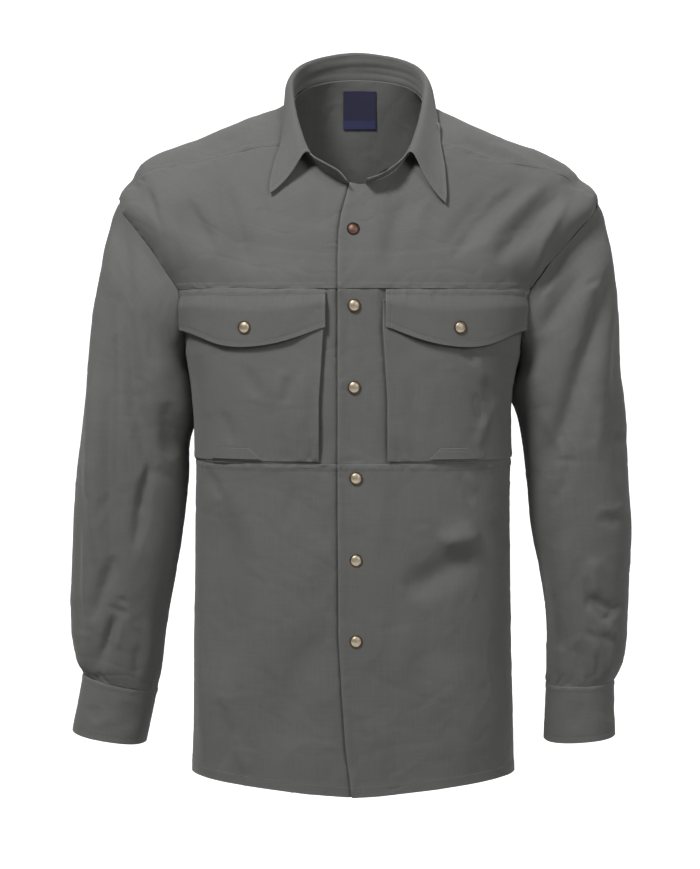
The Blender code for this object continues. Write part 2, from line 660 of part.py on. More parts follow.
def stand_points(share, height):
    """Points of the stand's middle: height runs from 0 at the neck seam to 1 at its top."""
    turn, top = stand_line(share)
    level = np.full(share.shape, NECK, float)
    foot = plain_body(math.pi - turn, level)
    seat = STAND_SEAT + np.where(turn > 0, lap_lift(1, math.pi - turn, level), 0)
    foot = foot + normals_of(plain_body, math.pi - turn, level) * seat[..., None]
    foot = foot + unit(top - foot) * 2 * HALF_SEAM
    return foot + (top - foot) * np.asarray(height)[..., None]


def stand_normals(share, height):
    across = stand_points(share + 1e-3, height) - stand_points(share - 1e-3, height)
    rise = stand_points(share, height + 1e-2) - stand_points(share, height - 1e-2)
    return unit(np.cross(rise, across))


def make_stand(material, snap_material):
    share, height = np.meshgrid(np.linspace(-1, 1, 2 * STAND_COLUMNS + 1), STAND_ROWS)
    middle, out = stand_points(share, height), stand_normals(share, height)
    half = COLLAR_CLOTH / 2
    wall("collar_stand", middle + out * half, middle - out * half, material)
    share, height = np.array(STAND_SNAP), STAND_SNAP_HEIGHT
    normal = -stand_normals(share, height)
    snap_at("stand_snap", stand_points(share, height) + normal * (half + LAYER_GAP), normal, snap_material)


def leaf_middle(share, drop):
    """Points of the leaf's middle: drop runs from 0 at the stand to 1 at its outer edge."""
    fold = fold_share(share)
    top, below = stand_points(fold, 0 * share + 1), stand_points(fold, 0 * share + 0.9)
    rise = unit(top - below)
    start = top + rise * 0.6
    away = level_out(leaf_fold, share)
    end = leaf_edge(share)
    second = start + rise * ROLL_RISE + away * ROLL_OUT
    third = start + away * LEAF_OUT
    third[..., 2] += (end - start)[..., 2] * LEAF_DROP
    t = drop[..., None]
    return (
        start * (1 - t) ** 3 + 3 * second * t * (1 - t) ** 2
        + 3 * third * t**2 * (1 - t) + end * t**3
    )


def make_leaf(material):
    share, drop = np.meshgrid(np.linspace(-1, 1, 2 * LEAF_COLUMNS + 1), LEAF_ROWS)
    across = leaf_middle(share + 1e-3, drop) - leaf_middle(share - 1e-3, drop)
    down = leaf_middle(share, drop + 1e-3) - leaf_middle(share, drop - 1e-3)
    out = unit(np.cross(across, down)) * COLLAR_CLOTH / 2
    middle = leaf_middle(share, drop)
    wall("collar_leaf", middle + out, middle - out, material)


# Pockets, flaps and tabs


def front_place(x, z):
    level = front_level(z)
    return front_angle(x, level), level


def pocket_columns(side, level, inner_x, last):
    """Angles of a pocket's or flap's columns at each row: those of the front below, so that the
    two follow each other round the body, but starting at the piece's own inner edge."""
    start = front_angle(side * inner_x, level)
    edge = front_angle(edge_x(side, level), level)
    outer = side * arm_angle(level)
    share = np.array([*range(3, math.ceil(last)), last]) / FRONT_COLUMNS
    angle = edge + (outer - edge) * share
    first = start + (angle[:, :1] - start) * np.array([0, 0.3, 0.65])
    return np.concatenate([first, angle], axis=1)


def make_pocket(side, owner, material):
    level = np.array(POCKET_LEVELS)[:, None]
    height = along(BODY_RINGS, level)[..., 5]
    inner_x = np.interp(height, [edge.z for edge in POCKET_INNER], [edge.x for edge in POCKET_INNER])
    angle = pocket_columns(side, level, inner_x, FRONT_COLUMNS - 1.4)
    level = np.broadcast_to(level, angle.shape)
    share = np.linspace(0, 1, angle.shape[1])
    puff = (1 - smooth(share / 0.35)) * smooth((height + 396) / 30) * (1 - smooth((height + 252) / 24))
    lift = CLOTH + LAYER_GAP + POCKET_LIFT + BELLOWS * puff + lap_lift(side, angle, level)
    body_panel(f"pocket_{owner}", angle, level, material, (), lift)


def flap_out(drop):
    """How far a flap's outer face lies above the front, from its top (0) to its lower edge (1)."""
    return CLOTH + LAYER_GAP + (CLOTH + LAYER_GAP + FLAP_LIFT) * smooth(np.asarray(drop) * 2.6)


def make_flap(side, owner, material):
    drop = np.array([0, 0.16, 0.4, 0.7, 1])[:, None]
    top = np.full(drop.shape, front_level(FLAP_TOP))
    share = np.linspace(0, 1, pocket_columns(side, top, FLAP_INNER[side], FRONT_COLUMNS - 0.2).shape[1])
    hang = np.sin(share * math.pi) ** 0.8
    height = FLAP_TOP + (FLAP_CORNER - FLAP_DROP * hang - FLAP_TOP) * drop
    level = front_level(height)
    angle = np.stack([
        pocket_columns(side, column[:, None], FLAP_INNER[side], FRONT_COLUMNS - 0.2)[:, index]
        for index, column in enumerate(level.T)
    ], axis=1)
    lift = flap_out(drop) + lap_lift(side, angle, level)
    body_panel(f"flap_{owner}", angle, level, material, (), lift)


def make_tab(side, owner, material):
    share = np.linspace(-0.5, 0.5, 5)[None, :]
    rise = np.array([0, 0.5, 1])[:, None]
    x = TAB_MIDDLE[side] + (TAB_FOOT + (TAB_HEAD - TAB_FOOT) * rise) * share
    angle, level = front_place(x, TAB_LOW + (TAB_HIGH - TAB_LOW) * rise + 0 * share)
    lift = 2 * CLOTH + 2 * LAYER_GAP + POCKET_LIFT + 0.4 + 0 * angle
    body_panel(f"pocket_tab_{owner}", angle, level, material, (), lift)


# Snaps and label


def snap_at(name, centre, normal, material):
    """A snap cap on the cloth: its profile turned about the cloth's normal."""
    side = unit(np.cross(normal, [0, 0, 1.0]))
    up = np.cross(side, normal)
    turns = np.linspace(0, 2 * math.pi, SNAP_SIDES, endpoint=False)
    points = []
    for radius, height in SNAP_PROFILE:
        ring = np.outer(np.cos(turns), side) + np.outer(np.sin(turns), up)
        points.append(centre + ring * radius * SNAP_RADIUS + normal * height)
    points = np.concatenate(points + [[centre + normal * (SNAP_PROFILE[-1][1] + 0.3)], [centre]])
    faces = []
    count = len(SNAP_PROFILE)
    for ring in range(count - 1):
        for index in range(SNAP_SIDES):
            here, there = ring * SNAP_SIDES, (ring + 1) * SNAP_SIDES
            beside = (index + 1) % SNAP_SIDES
            faces.append([here + index, here + beside, there + beside, there + index])
    for index in range(SNAP_SIDES):
        beside = (index + 1) % SNAP_SIDES
        faces.append([(count - 1) * SNAP_SIDES + index, (count - 1) * SNAP_SIDES + beside, len(points) - 2])
        faces.append([beside, index, len(points) - 1])
    return finish(name, points, faces, material, sharp=30)


def snap_on_front(name, x, z, lift, material):
    angle, level = front_place(np.array(float(x)), np.array(float(z)))
    normal = normals_of(folded_body, angle, level)
    snap_at(name, body(angle, level, lift + LAYER_GAP), normal, material)


def make_snaps(material):
    for number, snap in enumerate(PLACKET_SNAPS, 1):
        snap_on_front(f"placket_snap_{number}", snap.x, snap.z, LAP_LIFT, material)
    for side, owner in ((1, "left"), (-1, "right")):
        snap_on_front(f"flap_snap_{owner}", FLAP_SNAPS[side], FLAP_SNAP_Z, flap_out(1), material)


def make_label(material):
    x, drop = np.meshgrid(np.linspace(-0.5, 0.5, 5), np.linspace(0, 1, 4))
    levels = np.linspace(YOKE_BACK_LEVEL, NECK, 60)
    heights = along(BODY_RINGS, levels)[:, 7]
    level = np.interp(LABEL_TOP - LABEL_DROP * drop, heights, levels)
    ring = Ring(*np.moveaxis(along(BODY_RINGS, level), -1, 0))
    angle = math.pi - np.arcsin((LABEL_MIDDLE + LABEL_WIDTH * x - ring.centre_x) / ring.half_width)
    lift = np.full(angle.shape, -CLOTH - LABEL_GAP)
    body_panel("neck_label", angle, level, material, (), lift, LABEL_CLOTH)


# Materials


def material_of(name, colour, roughness, metallic=0.0):
    material = bpy.data.materials.new(name)
    material.use_nodes = True
    shader = material.node_tree.nodes["Principled BSDF"]
    shader.inputs["Base Color"].default_value = (*colour, 1)
    shader.inputs["Roughness"].default_value = roughness
    shader.inputs["Metallic"].default_value = metallic
    return material


for old in list(bpy.data.objects):
    bpy.data.objects.remove(old)

MATERIALS = {
    "cloth": material_of("grey_poplin", (0.125, 0.125, 0.118), 0.85),
    "snap": material_of("antique_brass", (0.42, 0.34, 0.24), 0.4, 1.0),
    "label": material_of("navy_label", (0.012, 0.014, 0.07), 0.8),
}

make_fronts(MATERIALS["cloth"])
make_yoke(MATERIALS["cloth"])
make_back(MATERIALS["cloth"])
for side_sign, side_name in ((1, "left"), (-1, "right")):
    make_sleeve(side_sign, side_name, MATERIALS["cloth"])
    make_cuff(side_sign, side_name, MATERIALS["cloth"])
    make_pocket(side_sign, side_name, MATERIALS["cloth"])
    make_flap(side_sign, side_name, MATERIALS["cloth"])
    make_tab(side_sign, side_name, MATERIALS["cloth"])
make_stand(MATERIALS["cloth"], MATERIALS["snap"])
make_leaf(MATERIALS["cloth"])
make_snaps(MATERIALS["snap"])
make_label(MATERIALS["label"])
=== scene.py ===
"""A grey long-sleeved work shirt, worn open at the neck and filled out with no wearer.

Each section makes one piece of the shirt, or a group of like pieces, in the order in which it is
sewn together. X runs to the wearer's left, -Y is the front and +Z is up. The tables of sizes are in
millimetres and degrees.
"""

import math
from collections import namedtuple

import bmesh
import bpy
import numpy as np
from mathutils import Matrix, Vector


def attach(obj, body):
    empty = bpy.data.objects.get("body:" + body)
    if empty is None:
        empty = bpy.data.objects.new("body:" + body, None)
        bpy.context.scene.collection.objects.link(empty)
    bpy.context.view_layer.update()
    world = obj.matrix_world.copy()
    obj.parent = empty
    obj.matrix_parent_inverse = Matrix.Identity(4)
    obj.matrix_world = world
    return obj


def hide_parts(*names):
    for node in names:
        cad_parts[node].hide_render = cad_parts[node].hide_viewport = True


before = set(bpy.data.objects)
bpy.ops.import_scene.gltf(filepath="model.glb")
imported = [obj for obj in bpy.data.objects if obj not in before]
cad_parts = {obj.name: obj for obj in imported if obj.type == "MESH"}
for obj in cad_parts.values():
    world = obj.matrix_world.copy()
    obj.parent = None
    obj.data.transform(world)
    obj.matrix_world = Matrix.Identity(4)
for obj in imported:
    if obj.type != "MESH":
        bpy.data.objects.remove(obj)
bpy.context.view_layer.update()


# The cloth
# A mid-grey cotton poplin of plain weave, washed once or twice, so that the dye is a little uneven
# and paler where seams and edges rub; that paler colour along edges is also a painted highlight
# where they catch the light. The threads follow each piece's own UV map, in metres.

# The paler grey serves both the uneven wash and the pale edges, which are partly wear and partly a painted
# highlight.
CLOTH_GREY, PALE_WEAR_AND_HIGHLIGHT_GREY, DEEP_GREY = (0.148, 0.148, 0.142), (0.185, 0.185, 0.178), (0.096, 0.096, 0.093)
THREAD_PITCH = 0.00042


class Value:
    """A socket of a material's nodes. A sum or product on it adds the Math node that works it out."""

    def __init__(self, finish, socket):
        self.finish = finish
        self.socket = socket

    def worked(self, operation, first, second=0.0):
        return self.finish.node("ShaderNodeMath", {"operation": operation}, {0: first, 1: second})

    def __add__(self, other):
        return self.worked("ADD", self, other)

    def __radd__(self, other):
        return self.worked("ADD", other, self)

    def __sub__(self, other):
        return self.worked("SUBTRACT", self, other)

    def __rsub__(self, other):
        return self.worked("SUBTRACT", other, self)

    def __mul__(self, other):
        return self.worked("MULTIPLY", self, other)

    def __rmul__(self, other):
        return self.worked("MULTIPLY", other, self)

    def __pow__(self, other):
        return self.worked("POWER", self, other)

    def sine(self):
        return self.worked("SINE", self)


class Finish:
    """A material, with the one method that adds its nodes."""

    def __init__(self, name):
        self.material = bpy.data.materials.new(name)
        self.material.use_nodes = True
        self.tree = self.material.node_tree
        self.shader = self.tree.nodes["Principled BSDF"]

    def node(self, kind, settings=None, inputs=None, output=0):
        made = self.tree.nodes.new(kind)
        for name, setting in (settings or {}).items():
            setattr(made, name, setting)
        self.join(made, inputs or {})
        return Value(self, made.outputs[output])

    def join(self, node, inputs):
        for name, value in inputs.items():
            if isinstance(value, Value):
                self.tree.links.new(value.socket, node.inputs[name])
            else:
                node.inputs[name].default_value = value

    def mixed(self, share, first, second):
        first, second = (c if isinstance(c, Value) else (*c, 1) for c in (first, second))
        return self.node("ShaderNodeMix", {"data_type": "RGBA"}, {0: share, 6: first, 7: second}, 2)

    def noise(self, place, scale, detail=2.0):
        sockets = {"Vector": place, "Scale": scale, "Detail": detail}
        return self.node("ShaderNodeTexNoise", {}, sockets)


def cloth_finish(name, grey, worn, deep):
    finish = Finish(name)
    thread = finish.node("ShaderNodeUVMap", {"uv_map": "thread"}, output=0)
    across = finish.node("ShaderNodeSeparateXYZ", {}, {0: thread}, 0)
    along_piece = finish.node("ShaderNodeSeparateXYZ", {}, {0: thread}, 1)
    place = finish.node("ShaderNodeTexCoord", {}, {}, 3)
    weave = (across * (2 * math.pi / THREAD_PITCH)).sine() * (along_piece * (2 * math.pi / THREAD_PITCH)).sine()
    warp = finish.noise(finish.node("ShaderNodeCombineXYZ", {}, {0: across * 620, 1: along_piece * 21}), 1.0)
    weft = finish.noise(finish.node("ShaderNodeCombineXYZ", {}, {0: across * 24, 1: along_piece * 560}), 1.0)
    cloudy = finish.noise(place, 11.0, 3.0)
    fleck = finish.noise(place, 640.0, 2.0)
    edge = finish.node("ShaderNodeAttribute", {"attribute_name": "edge"}, {}, 2)
    slub = warp * 0.55 + weft * 0.45
    colour = finish.mixed(slub * 0.7 + fleck * 0.3, deep, grey)
    colour = finish.mixed((cloudy - 0.42) * 0.55, colour, worn)
    # Paler near each piece's edges and seams: partly wear where they rub, partly a painted highlight where edges
    # catch the light.
    colour = finish.mixed(edge * fleck * 0.55, colour, worn)
    height = weave * 0.35 + slub * 1.1 + fleck * 0.5
    bump = finish.node("ShaderNodeBump", {}, {"Strength": 0.55, "Distance": 0.00022, "Height": height})
    sockets = {"Base Color": colour, "Roughness": 0.92 - slub * 0.12, "Normal": bump}
    finish.join(finish.shader, sockets)
    finish.join(finish.shader, {"Sheen Weight": 0.12, "Sheen Roughness": 0.5, "Specular IOR Level": 0.25})
    return finish.material


POPLIN = cloth_finish("grey_poplin", CLOTH_GREY, PALE_WEAR_AND_HIGHLIGHT_GREY, DEEP_GREY)


# Lower fronts
# Two panels from the pocket seam down to the hem, each a single layer of poplin that is turned up
# twice at the hem. The wearer's left one laps over the right, and they close with snaps.

MM = 0.001
CLOTH, HALF_SEAM, LAYER_GAP = 1.3, 0.16, 0.4
STEP = 3.05

# The body is one surface of rings, hem first: angle 0 is the centre front, 90 the wearer's left, and
# level the number of the ring. Above the chest each ring's halves tilt up to the shoulder ridge.
Ring = namedtuple(
    "Ring",
    "centre_x half_width side_y side_z front_y front_z back_y back_z front_square back_square roll",
)
BODY_RINGS = (
    Ring(1, 180.5, 0, -752, -124, -756, 110, -754, 2.8, 2.6, 1.6),
    Ring(0, 177.5, 0, -640, -126, -640, 110, -640, 2.9, 2.6, 1.6),
    Ring(0, 175.5, 0, -510, -127, -510, 111, -510, 3.0, 2.6, 1.6),
    Ring(0, 174.8, 0, -397, -127, -397, 113, -397, 3.1, 2.6, 1.6),
    Ring(-1, 175, 0, -335, -127, -335, 114, -335, 3.2, 2.6, 1.6),
    Ring(0, 183, 0, -283, -126, -283, 115, -283, 3.3, 2.6, 1.6),
    Ring(1, 206, 0, -210, -124, -210, 115, -210, 2.9, 2.6, 1.6),
    Ring(6, 264, 2, -112, -117, -180, 111, -172, 2.35, 2.3, 1.6),
    Ring(3, 249, 3, -84, -114, -171, 109, -152, 2.35, 2.3, 1.6),
    Ring(-2, 224, 3, -62.5, -111, -159, 105, -126, 2.35, 2.3, 1.6),
    Ring(-3, 169, 3, -42, -106, -141, 99, -82, 2.35, 2.3, 1.6),
    Ring(0, 118, 3, -20, -99, -119, 90, -26, 2.4, 2.3, 1.6),
    Ring(6, 72, 2, -3, -90, -99, 75, 29, 1.9, 2.2, 1.0),
)
HEM_RISE = 0.095
HEM, POCKET_SEAM, ARMPIT, CHEST_SEAM, NECK = 0, 3, 5, 6, 12
Edge = namedtuple("Edge", "z x")
LEFT_EDGE = (
    Edge(-756, -1), Edge(-700, -8), Edge(-640, -12), Edge(-580, -15), Edge(-450, -16),
    Edge(-180, -16), Edge(-150, -15), Edge(-130, -12), Edge(-98, -3),
)
RIGHT_EDGE_X = 15
LAP_LIFT, LAP_FULL, LAP_END = 2.2, 24, 48
LAP_CURL, LAP_CURL_WIDE = 1.6, 12
UNDER_DIP = 2.6
FOLD_DEPTH = 1.7

# The large folds, as seen from the front or the back: a ridge has a positive lift, a trough a negative
Fold = namedtuple("Fold", "path half_width lift")
FRONT_FOLDS = (
    Fold(((196, -84), (150, -118), (96, -172)), 15, -4.5),
    Fold(((228, -94), (198, -126), (150, -186)), 13, -4.5),
    Fold(((214, -92), (176, -124), (128, -172)), 12, 2.5),
    Fold(((221, -112), (204, -160), (190, -225)), 12, 2.5),
    Fold(((-216, -84), (-208, -130), (-191, -225)), 12, 2.5),
    Fold(((-150, -88), (-124, -150), (-106, -200)), 14, -3.0),
    Fold(((-186, -110), (-150, -176)), 14, -3.0),
    Fold(((88, -482), (140, -474)), 16, 3.5),
    Fold(((134, -490), (84, -520), (50, -536)), 17, -4.5),
    Fold(((-142, -425), (-133, -500), (-136, -570), (-144, -660)), 20, -6.0),
    Fold(((-163, -470), (-163, -590), (-162, -740)), 13, 3.0),
    Fold(((-20, -560), (-70, -640), (-84, -720)), 24, -2.5),
    Fold(((92, -600), (120, -680), (128, -745)), 24, 2.5),
)
BACK_FOLDS = (
    Fold(((60, -200), (46, -330), (52, -470)), 22, -4.0),
    Fold(((-74, -190), (-60, -320), (-70, -440)), 22, -4.0),
    Fold(((150, -270), (116, -330), (60, -372)), 18, -4.5),
    Fold(((-152, -262), (-118, -330), (-66, -366)), 18, -4.5),
    Fold(((110, -480), (100, -600), (116, -740)), 24, 4.0),
    Fold(((-104, -470), (-92, -600), (-106, -740)), 24, 4.0),
    Fold(((4, -520), (-8, -640), (2, -744)), 26, -4.0),
)
LOWER_CREASES = (
    Fold(((109, -404), (123, -425), (130, -447)), 5, -1.0),
    Fold(((120, -408), (134, -430)), 5, 0.8),
    Fold(((94, -481), (138, -476)), 7, 1.2),
    Fold(((150, -455), (168, -500)), 7, -1.0),
    Fold(((-160, -405), (-140, -440)), 6, -1.1),
    Fold(((-166, -596), (-165, -730)), 6, 0.9),
    Fold(((-148, -650), (-136, -700), (-152, -742)), 8, -1.3),
    Fold(((-132, -690), (-112, -735)), 8, 0.9),
    Fold(((-60, -420), (-74, -470)), 9, -0.8),
    Fold(((24, -600), (34, -690)), 12, -0.9),
    Fold(((60, -560), (44, -640)), 12, 0.8),
    Fold(((-30, -470), (-52, -540)), 12, 0.8),
)


def along(rows, level):
    """Smooth curve through the rows of a table, read at these levels."""
    rows = np.asarray(rows, float)
    padded = np.vstack([2 * rows[0] - rows[1], rows, 2 * rows[-1] - rows[-2]])
    level = np.asarray(level, float)
    step = np.clip(np.floor(level).astype(int), 0, len(rows) - 2)
    t = (level - step)[..., None]
    before, start, end, after = (padded[step + k] for k in range(4))
    return 0.5 * (
        2 * start
        + (end - before) * t
        + (2 * before - 5 * start + 4 * end - after) * t**2
        + (3 * start - before - 3 * end + after) * t**3
    )


def unit(vectors):
    return vectors / np.maximum(np.linalg.norm(vectors, axis=-1, keepdims=True), 1e-9)


def smooth(x):
    x = np.clip(x, 0, 1)
    return x * x * (3 - 2 * x)


def fold_lift(x, z, folds):
    """How far the folds push the cloth out at these places, seen from the front."""
    lift = np.zeros(np.shape(x))
    for fold in folds:
        path = np.array(fold.path, float)
        steps = path[1:] - path[:-1]
        lengths = np.linalg.norm(steps, axis=1)
        starts = np.concatenate([[0], np.cumsum(lengths)])
        nearest = np.full(np.shape(x), np.inf)
        progress = np.zeros(np.shape(x))
        for start, step, length, before in zip(path, steps, lengths, starts):
            share = ((x - start[0]) * step[0] + (z - start[1]) * step[1]) / length**2
            share = np.clip(share, 0, 1)
            away = np.hypot(x - start[0] - share * step[0], z - start[1] - share * step[1])
            closer = away < nearest
            nearest = np.where(closer, away, nearest)
            progress = np.where(closer, (before + share * length) / starts[-1], progress)
        fade = smooth(4 * progress * (1 - progress))
        reach = fold.half_width * (0.55 + 0.45 * fade)
        lift += fold.lift * fade * np.exp(-((nearest / reach) ** 2))
    return lift


def oval(angle, square):
    """Across and ahead of a rounded oval of half size 1, at this angle from straight ahead."""
    across, ahead = np.sin(angle), np.abs(np.cos(angle))
    reach = (np.abs(across) ** square + ahead**square) ** (-1 / square)
    return across * reach, ahead * reach


def plain_body(angle, level):
    ring = Ring(*np.moveaxis(along(BODY_RINGS, level), -1, 0))
    front = np.cos(angle) > 0
    across, ahead = oval(angle, np.where(front, ring.front_square, ring.back_square))
    far_y = np.where(front, ring.front_y, ring.back_y)
    far_z = np.where(front, ring.front_z, ring.back_z)
    x = ring.centre_x + ring.half_width * across
    y = ring.side_y + (far_y - ring.side_y) * ahead
    z = ring.side_z + (far_z - ring.side_z) * ahead**ring.roll
    return np.stack([x, y, z], axis=-1)


def normals_of(surface, first, second, sign=1):
    """Outward unit normals of a surface, from small steps in its two parameters."""
    step = 1e-3
    across = surface(first + step, second) - surface(first - step, second)
    up = surface(first, second + step) - surface(first, second - step)
    return sign * unit(np.cross(across, up))


def eased_shoulder(points):
    """The cloth hangs a little closer on the point of the shoulder, and fuller just below it."""
    x, z = points[..., 0], points[..., 2]
    drop = 2.8 * np.exp(-(((z + 126) / 13) ** 2)) - 4.5 * np.exp(-(((z + 94) / 9) ** 2))
    moved = points.copy()
    moved[..., 0] = x + np.sign(x) * drop * smooth((np.abs(x) - 215) / 40)
    return moved


def folded_body(angle, level):
    base = eased_shoulder(plain_body(angle, level))
    out = normals_of(plain_body, angle, level)
    side = smooth(1.6 * np.abs(np.cos(angle)))
    front = FOLD_DEPTH * fold_lift(base[..., 0], base[..., 2], FRONT_FOLDS)
    back = FOLD_DEPTH * fold_lift(base[..., 0], base[..., 2], BACK_FOLDS)
    lift = np.where(np.cos(angle) > 0, front, back) * side
    return base + out * lift[..., None]


def body(angle, level, out=0.0):
    """Points of the body cloth's outer face, moved out along its normals."""
    angle, level = np.broadcast_arrays(np.asarray(angle, float), np.asarray(level, float))
    normals = normals_of(folded_body, angle, level)
    return folded_body(angle, level) + normals * np.broadcast_to(out, angle.shape)[..., None]


def front_angle(x, level):
    """Angle on the front at which a ring reaches this x."""
    ring = Ring(*np.moveaxis(along(BODY_RINGS, level), -1, 0))
    share = np.clip((x - ring.centre_x) / ring.half_width, -0.999, 0.999)
    ahead = (1 - np.abs(share) ** ring.front_square) ** (1 / ring.front_square)
    return np.arctan2(share, ahead)


def edge_x(side, level):
    """X of a front's free edge at these levels."""
    if side < 0:
        return np.full(np.shape(level), RIGHT_EDGE_X, float)
    height = along(BODY_RINGS, level)[..., 5]
    return np.interp(height, [edge.z for edge in LEFT_EDGE], [edge.x for edge in LEFT_EDGE])


def lap_lift(side, angle, level):
    """The wearer's left front rises over the right one near the centre."""
    x = plain_body(angle, level)[..., 0]
    if side < 0:
        return -UNDER_DIP * smooth((x - edge_x(1, level) + 5) / 6)
    curl = LAP_CURL * smooth(1 - (x - edge_x(side, level)) / LAP_CURL_WIDE)
    return LAP_LIFT * smooth((LAP_END - x) / (LAP_END - LAP_FULL)) + curl


def hem_rise(angle, level):
    """The hem curves up a little on its way from the centre to the side seam."""
    from_centre = np.minimum(np.abs(angle), np.abs(math.pi - np.abs(angle)))
    return level + HEM_RISE * np.sin(1.7 * from_centre) ** 1.5 * np.clip(1 - level, 0, 1)


def shares(length, step=STEP):
    """Places along a side of this length, from 0 to 1, closer together by both ends."""
    ends = np.array([0, 0.7, 1.5, 2.6, 4.0, 5.4, 6.3, 7.2, 8.6])
    middle = np.linspace(ends[-1], length - ends[-1], max(3, round(length / step - 6)))[1:-1]
    return np.concatenate([ends, middle, length - ends[::-1]]) / length


def lengths(grid, axis):
    """Distance of each point from the grid's first row or column, along the cloth."""
    steps = np.linalg.norm(np.diff(grid, axis=axis), axis=-1)
    return np.insert(np.cumsum(steps, axis=axis), 0, 0, axis=axis)


def facing(grid, sign, tube=False):
    """Unit normals of a grid of points. A tube's last column meets its first."""
    if tube:
        across = np.roll(grid, -1, axis=1) - np.roll(grid, 1, axis=1)
    else:
        across = np.gradient(grid, axis=1)
    return sign * unit(np.cross(across, np.gradient(grid, axis=0)))


def ripple(u, v, seed):
    """Smooth unevenness between -1 and 1, about one bump to each unit of u and v."""
    table = np.random.default_rng(seed).uniform(-1, 1, (97, 97))
    u, v = 0.8 * u + 0.6 * v, 0.8 * v - 0.6 * u
    column, row = np.floor(u).astype(int), np.floor(v).astype(int)
    right, up = smooth(u - column), smooth(v - row)
    low = table[row % 97, column % 97] * (1 - right) + table[row % 97, (column + 1) % 97] * right
    row = row + 1
    high = table[row % 97, column % 97] * (1 - right) + table[row % 97, (column + 1) % 97] * right
    return low * (1 - up) + high * up


def edges_away(grid):
    """For each edge, each point's distance from it and its place along it."""
    down, across = lengths(grid, 0), lengths(grid, 1)
    return {
        "first_row": (down, across),
        "last_row": (down[-1:] - down, across),
        "first_column": (across, down),
        "last_column": (across[:, -1:] - across, down),
    }


PUCKER, PUCKER_LENGTH, PUCKER_REACH = 1.9, 4.0, 8.5
DITCH, FELL_LIFT, GROOVE = 0.2, 0.45, 0.3


def sewn_lift(grid, sewn, rows, felled, seed):
    """Ripples, ditch, doubled cloth and stitch grooves that the sewing gives a piece at its edges."""
    lift = np.zeros(grid.shape[:2])
    sides = edges_away(grid)
    for number, edge in enumerate(sewn):
        away, run = sides[edge]
        reach = PUCKER_REACH * (1 + 0.7 * ripple(run / 11, 0 * run + number, seed))
        wave = ripple(run / PUCKER_LENGTH, 0 * run + 3 * number, seed + 1)
        strong = 0.6 + 0.4 * ripple(run / 34, 0 * run, seed + 2)
        lift += PUCKER * strong * wave * np.exp(-((away / reach) ** 2)) * smooth(away / 4)
        lift -= DITCH * np.exp(-((away / 1.1) ** 2))
    for edge, width in felled:
        lift += FELL_LIFT * (1 - smooth((sides[edge][0] - width) / 1.6))
    for edge, distance in rows:
        lift -= GROOVE * np.exp(-(((sides[edge][0] - distance) / 0.9) ** 2))
    return lift


Grid = namedtuple("Grid", "points normals tube")


def cloth_object(name, points, faces, thread, edge, material, sharp=50):
    """A closed mesh of cloth with its thread map, and how near each point is to an edge, which the finish paints
    paler for wear and as a painted highlight.
    """
    mesh = bpy.data.meshes.new(name)
    mesh.from_pydata((points * MM).tolist(), [], faces)
    shape = bmesh.new()
    shape.from_mesh(mesh)
    bmesh.ops.recalc_face_normals(shape, faces=shape.faces[:])
    shape.to_mesh(mesh)
    shape.free()
    corners = np.empty(len(mesh.loops), np.int32)
    mesh.loops.foreach_get("vertex_index", corners)
    layer = mesh.uv_layers.new(name="thread")
    layer.data.foreach_set("uv", (thread[corners] * MM).astype(np.float32).ravel())
    attribute = mesh.attributes.new("edge", "FLOAT", "POINT")
    attribute.data.foreach_set("value", edge.astype(np.float32))
    mesh.shade_smooth()
    mesh.set_sharp_from_angle(angle=math.radians(sharp))
    mesh.materials.append(material)
    made = bpy.data.objects.new(name, mesh)
    bpy.context.scene.collection.objects.link(made)
    return made


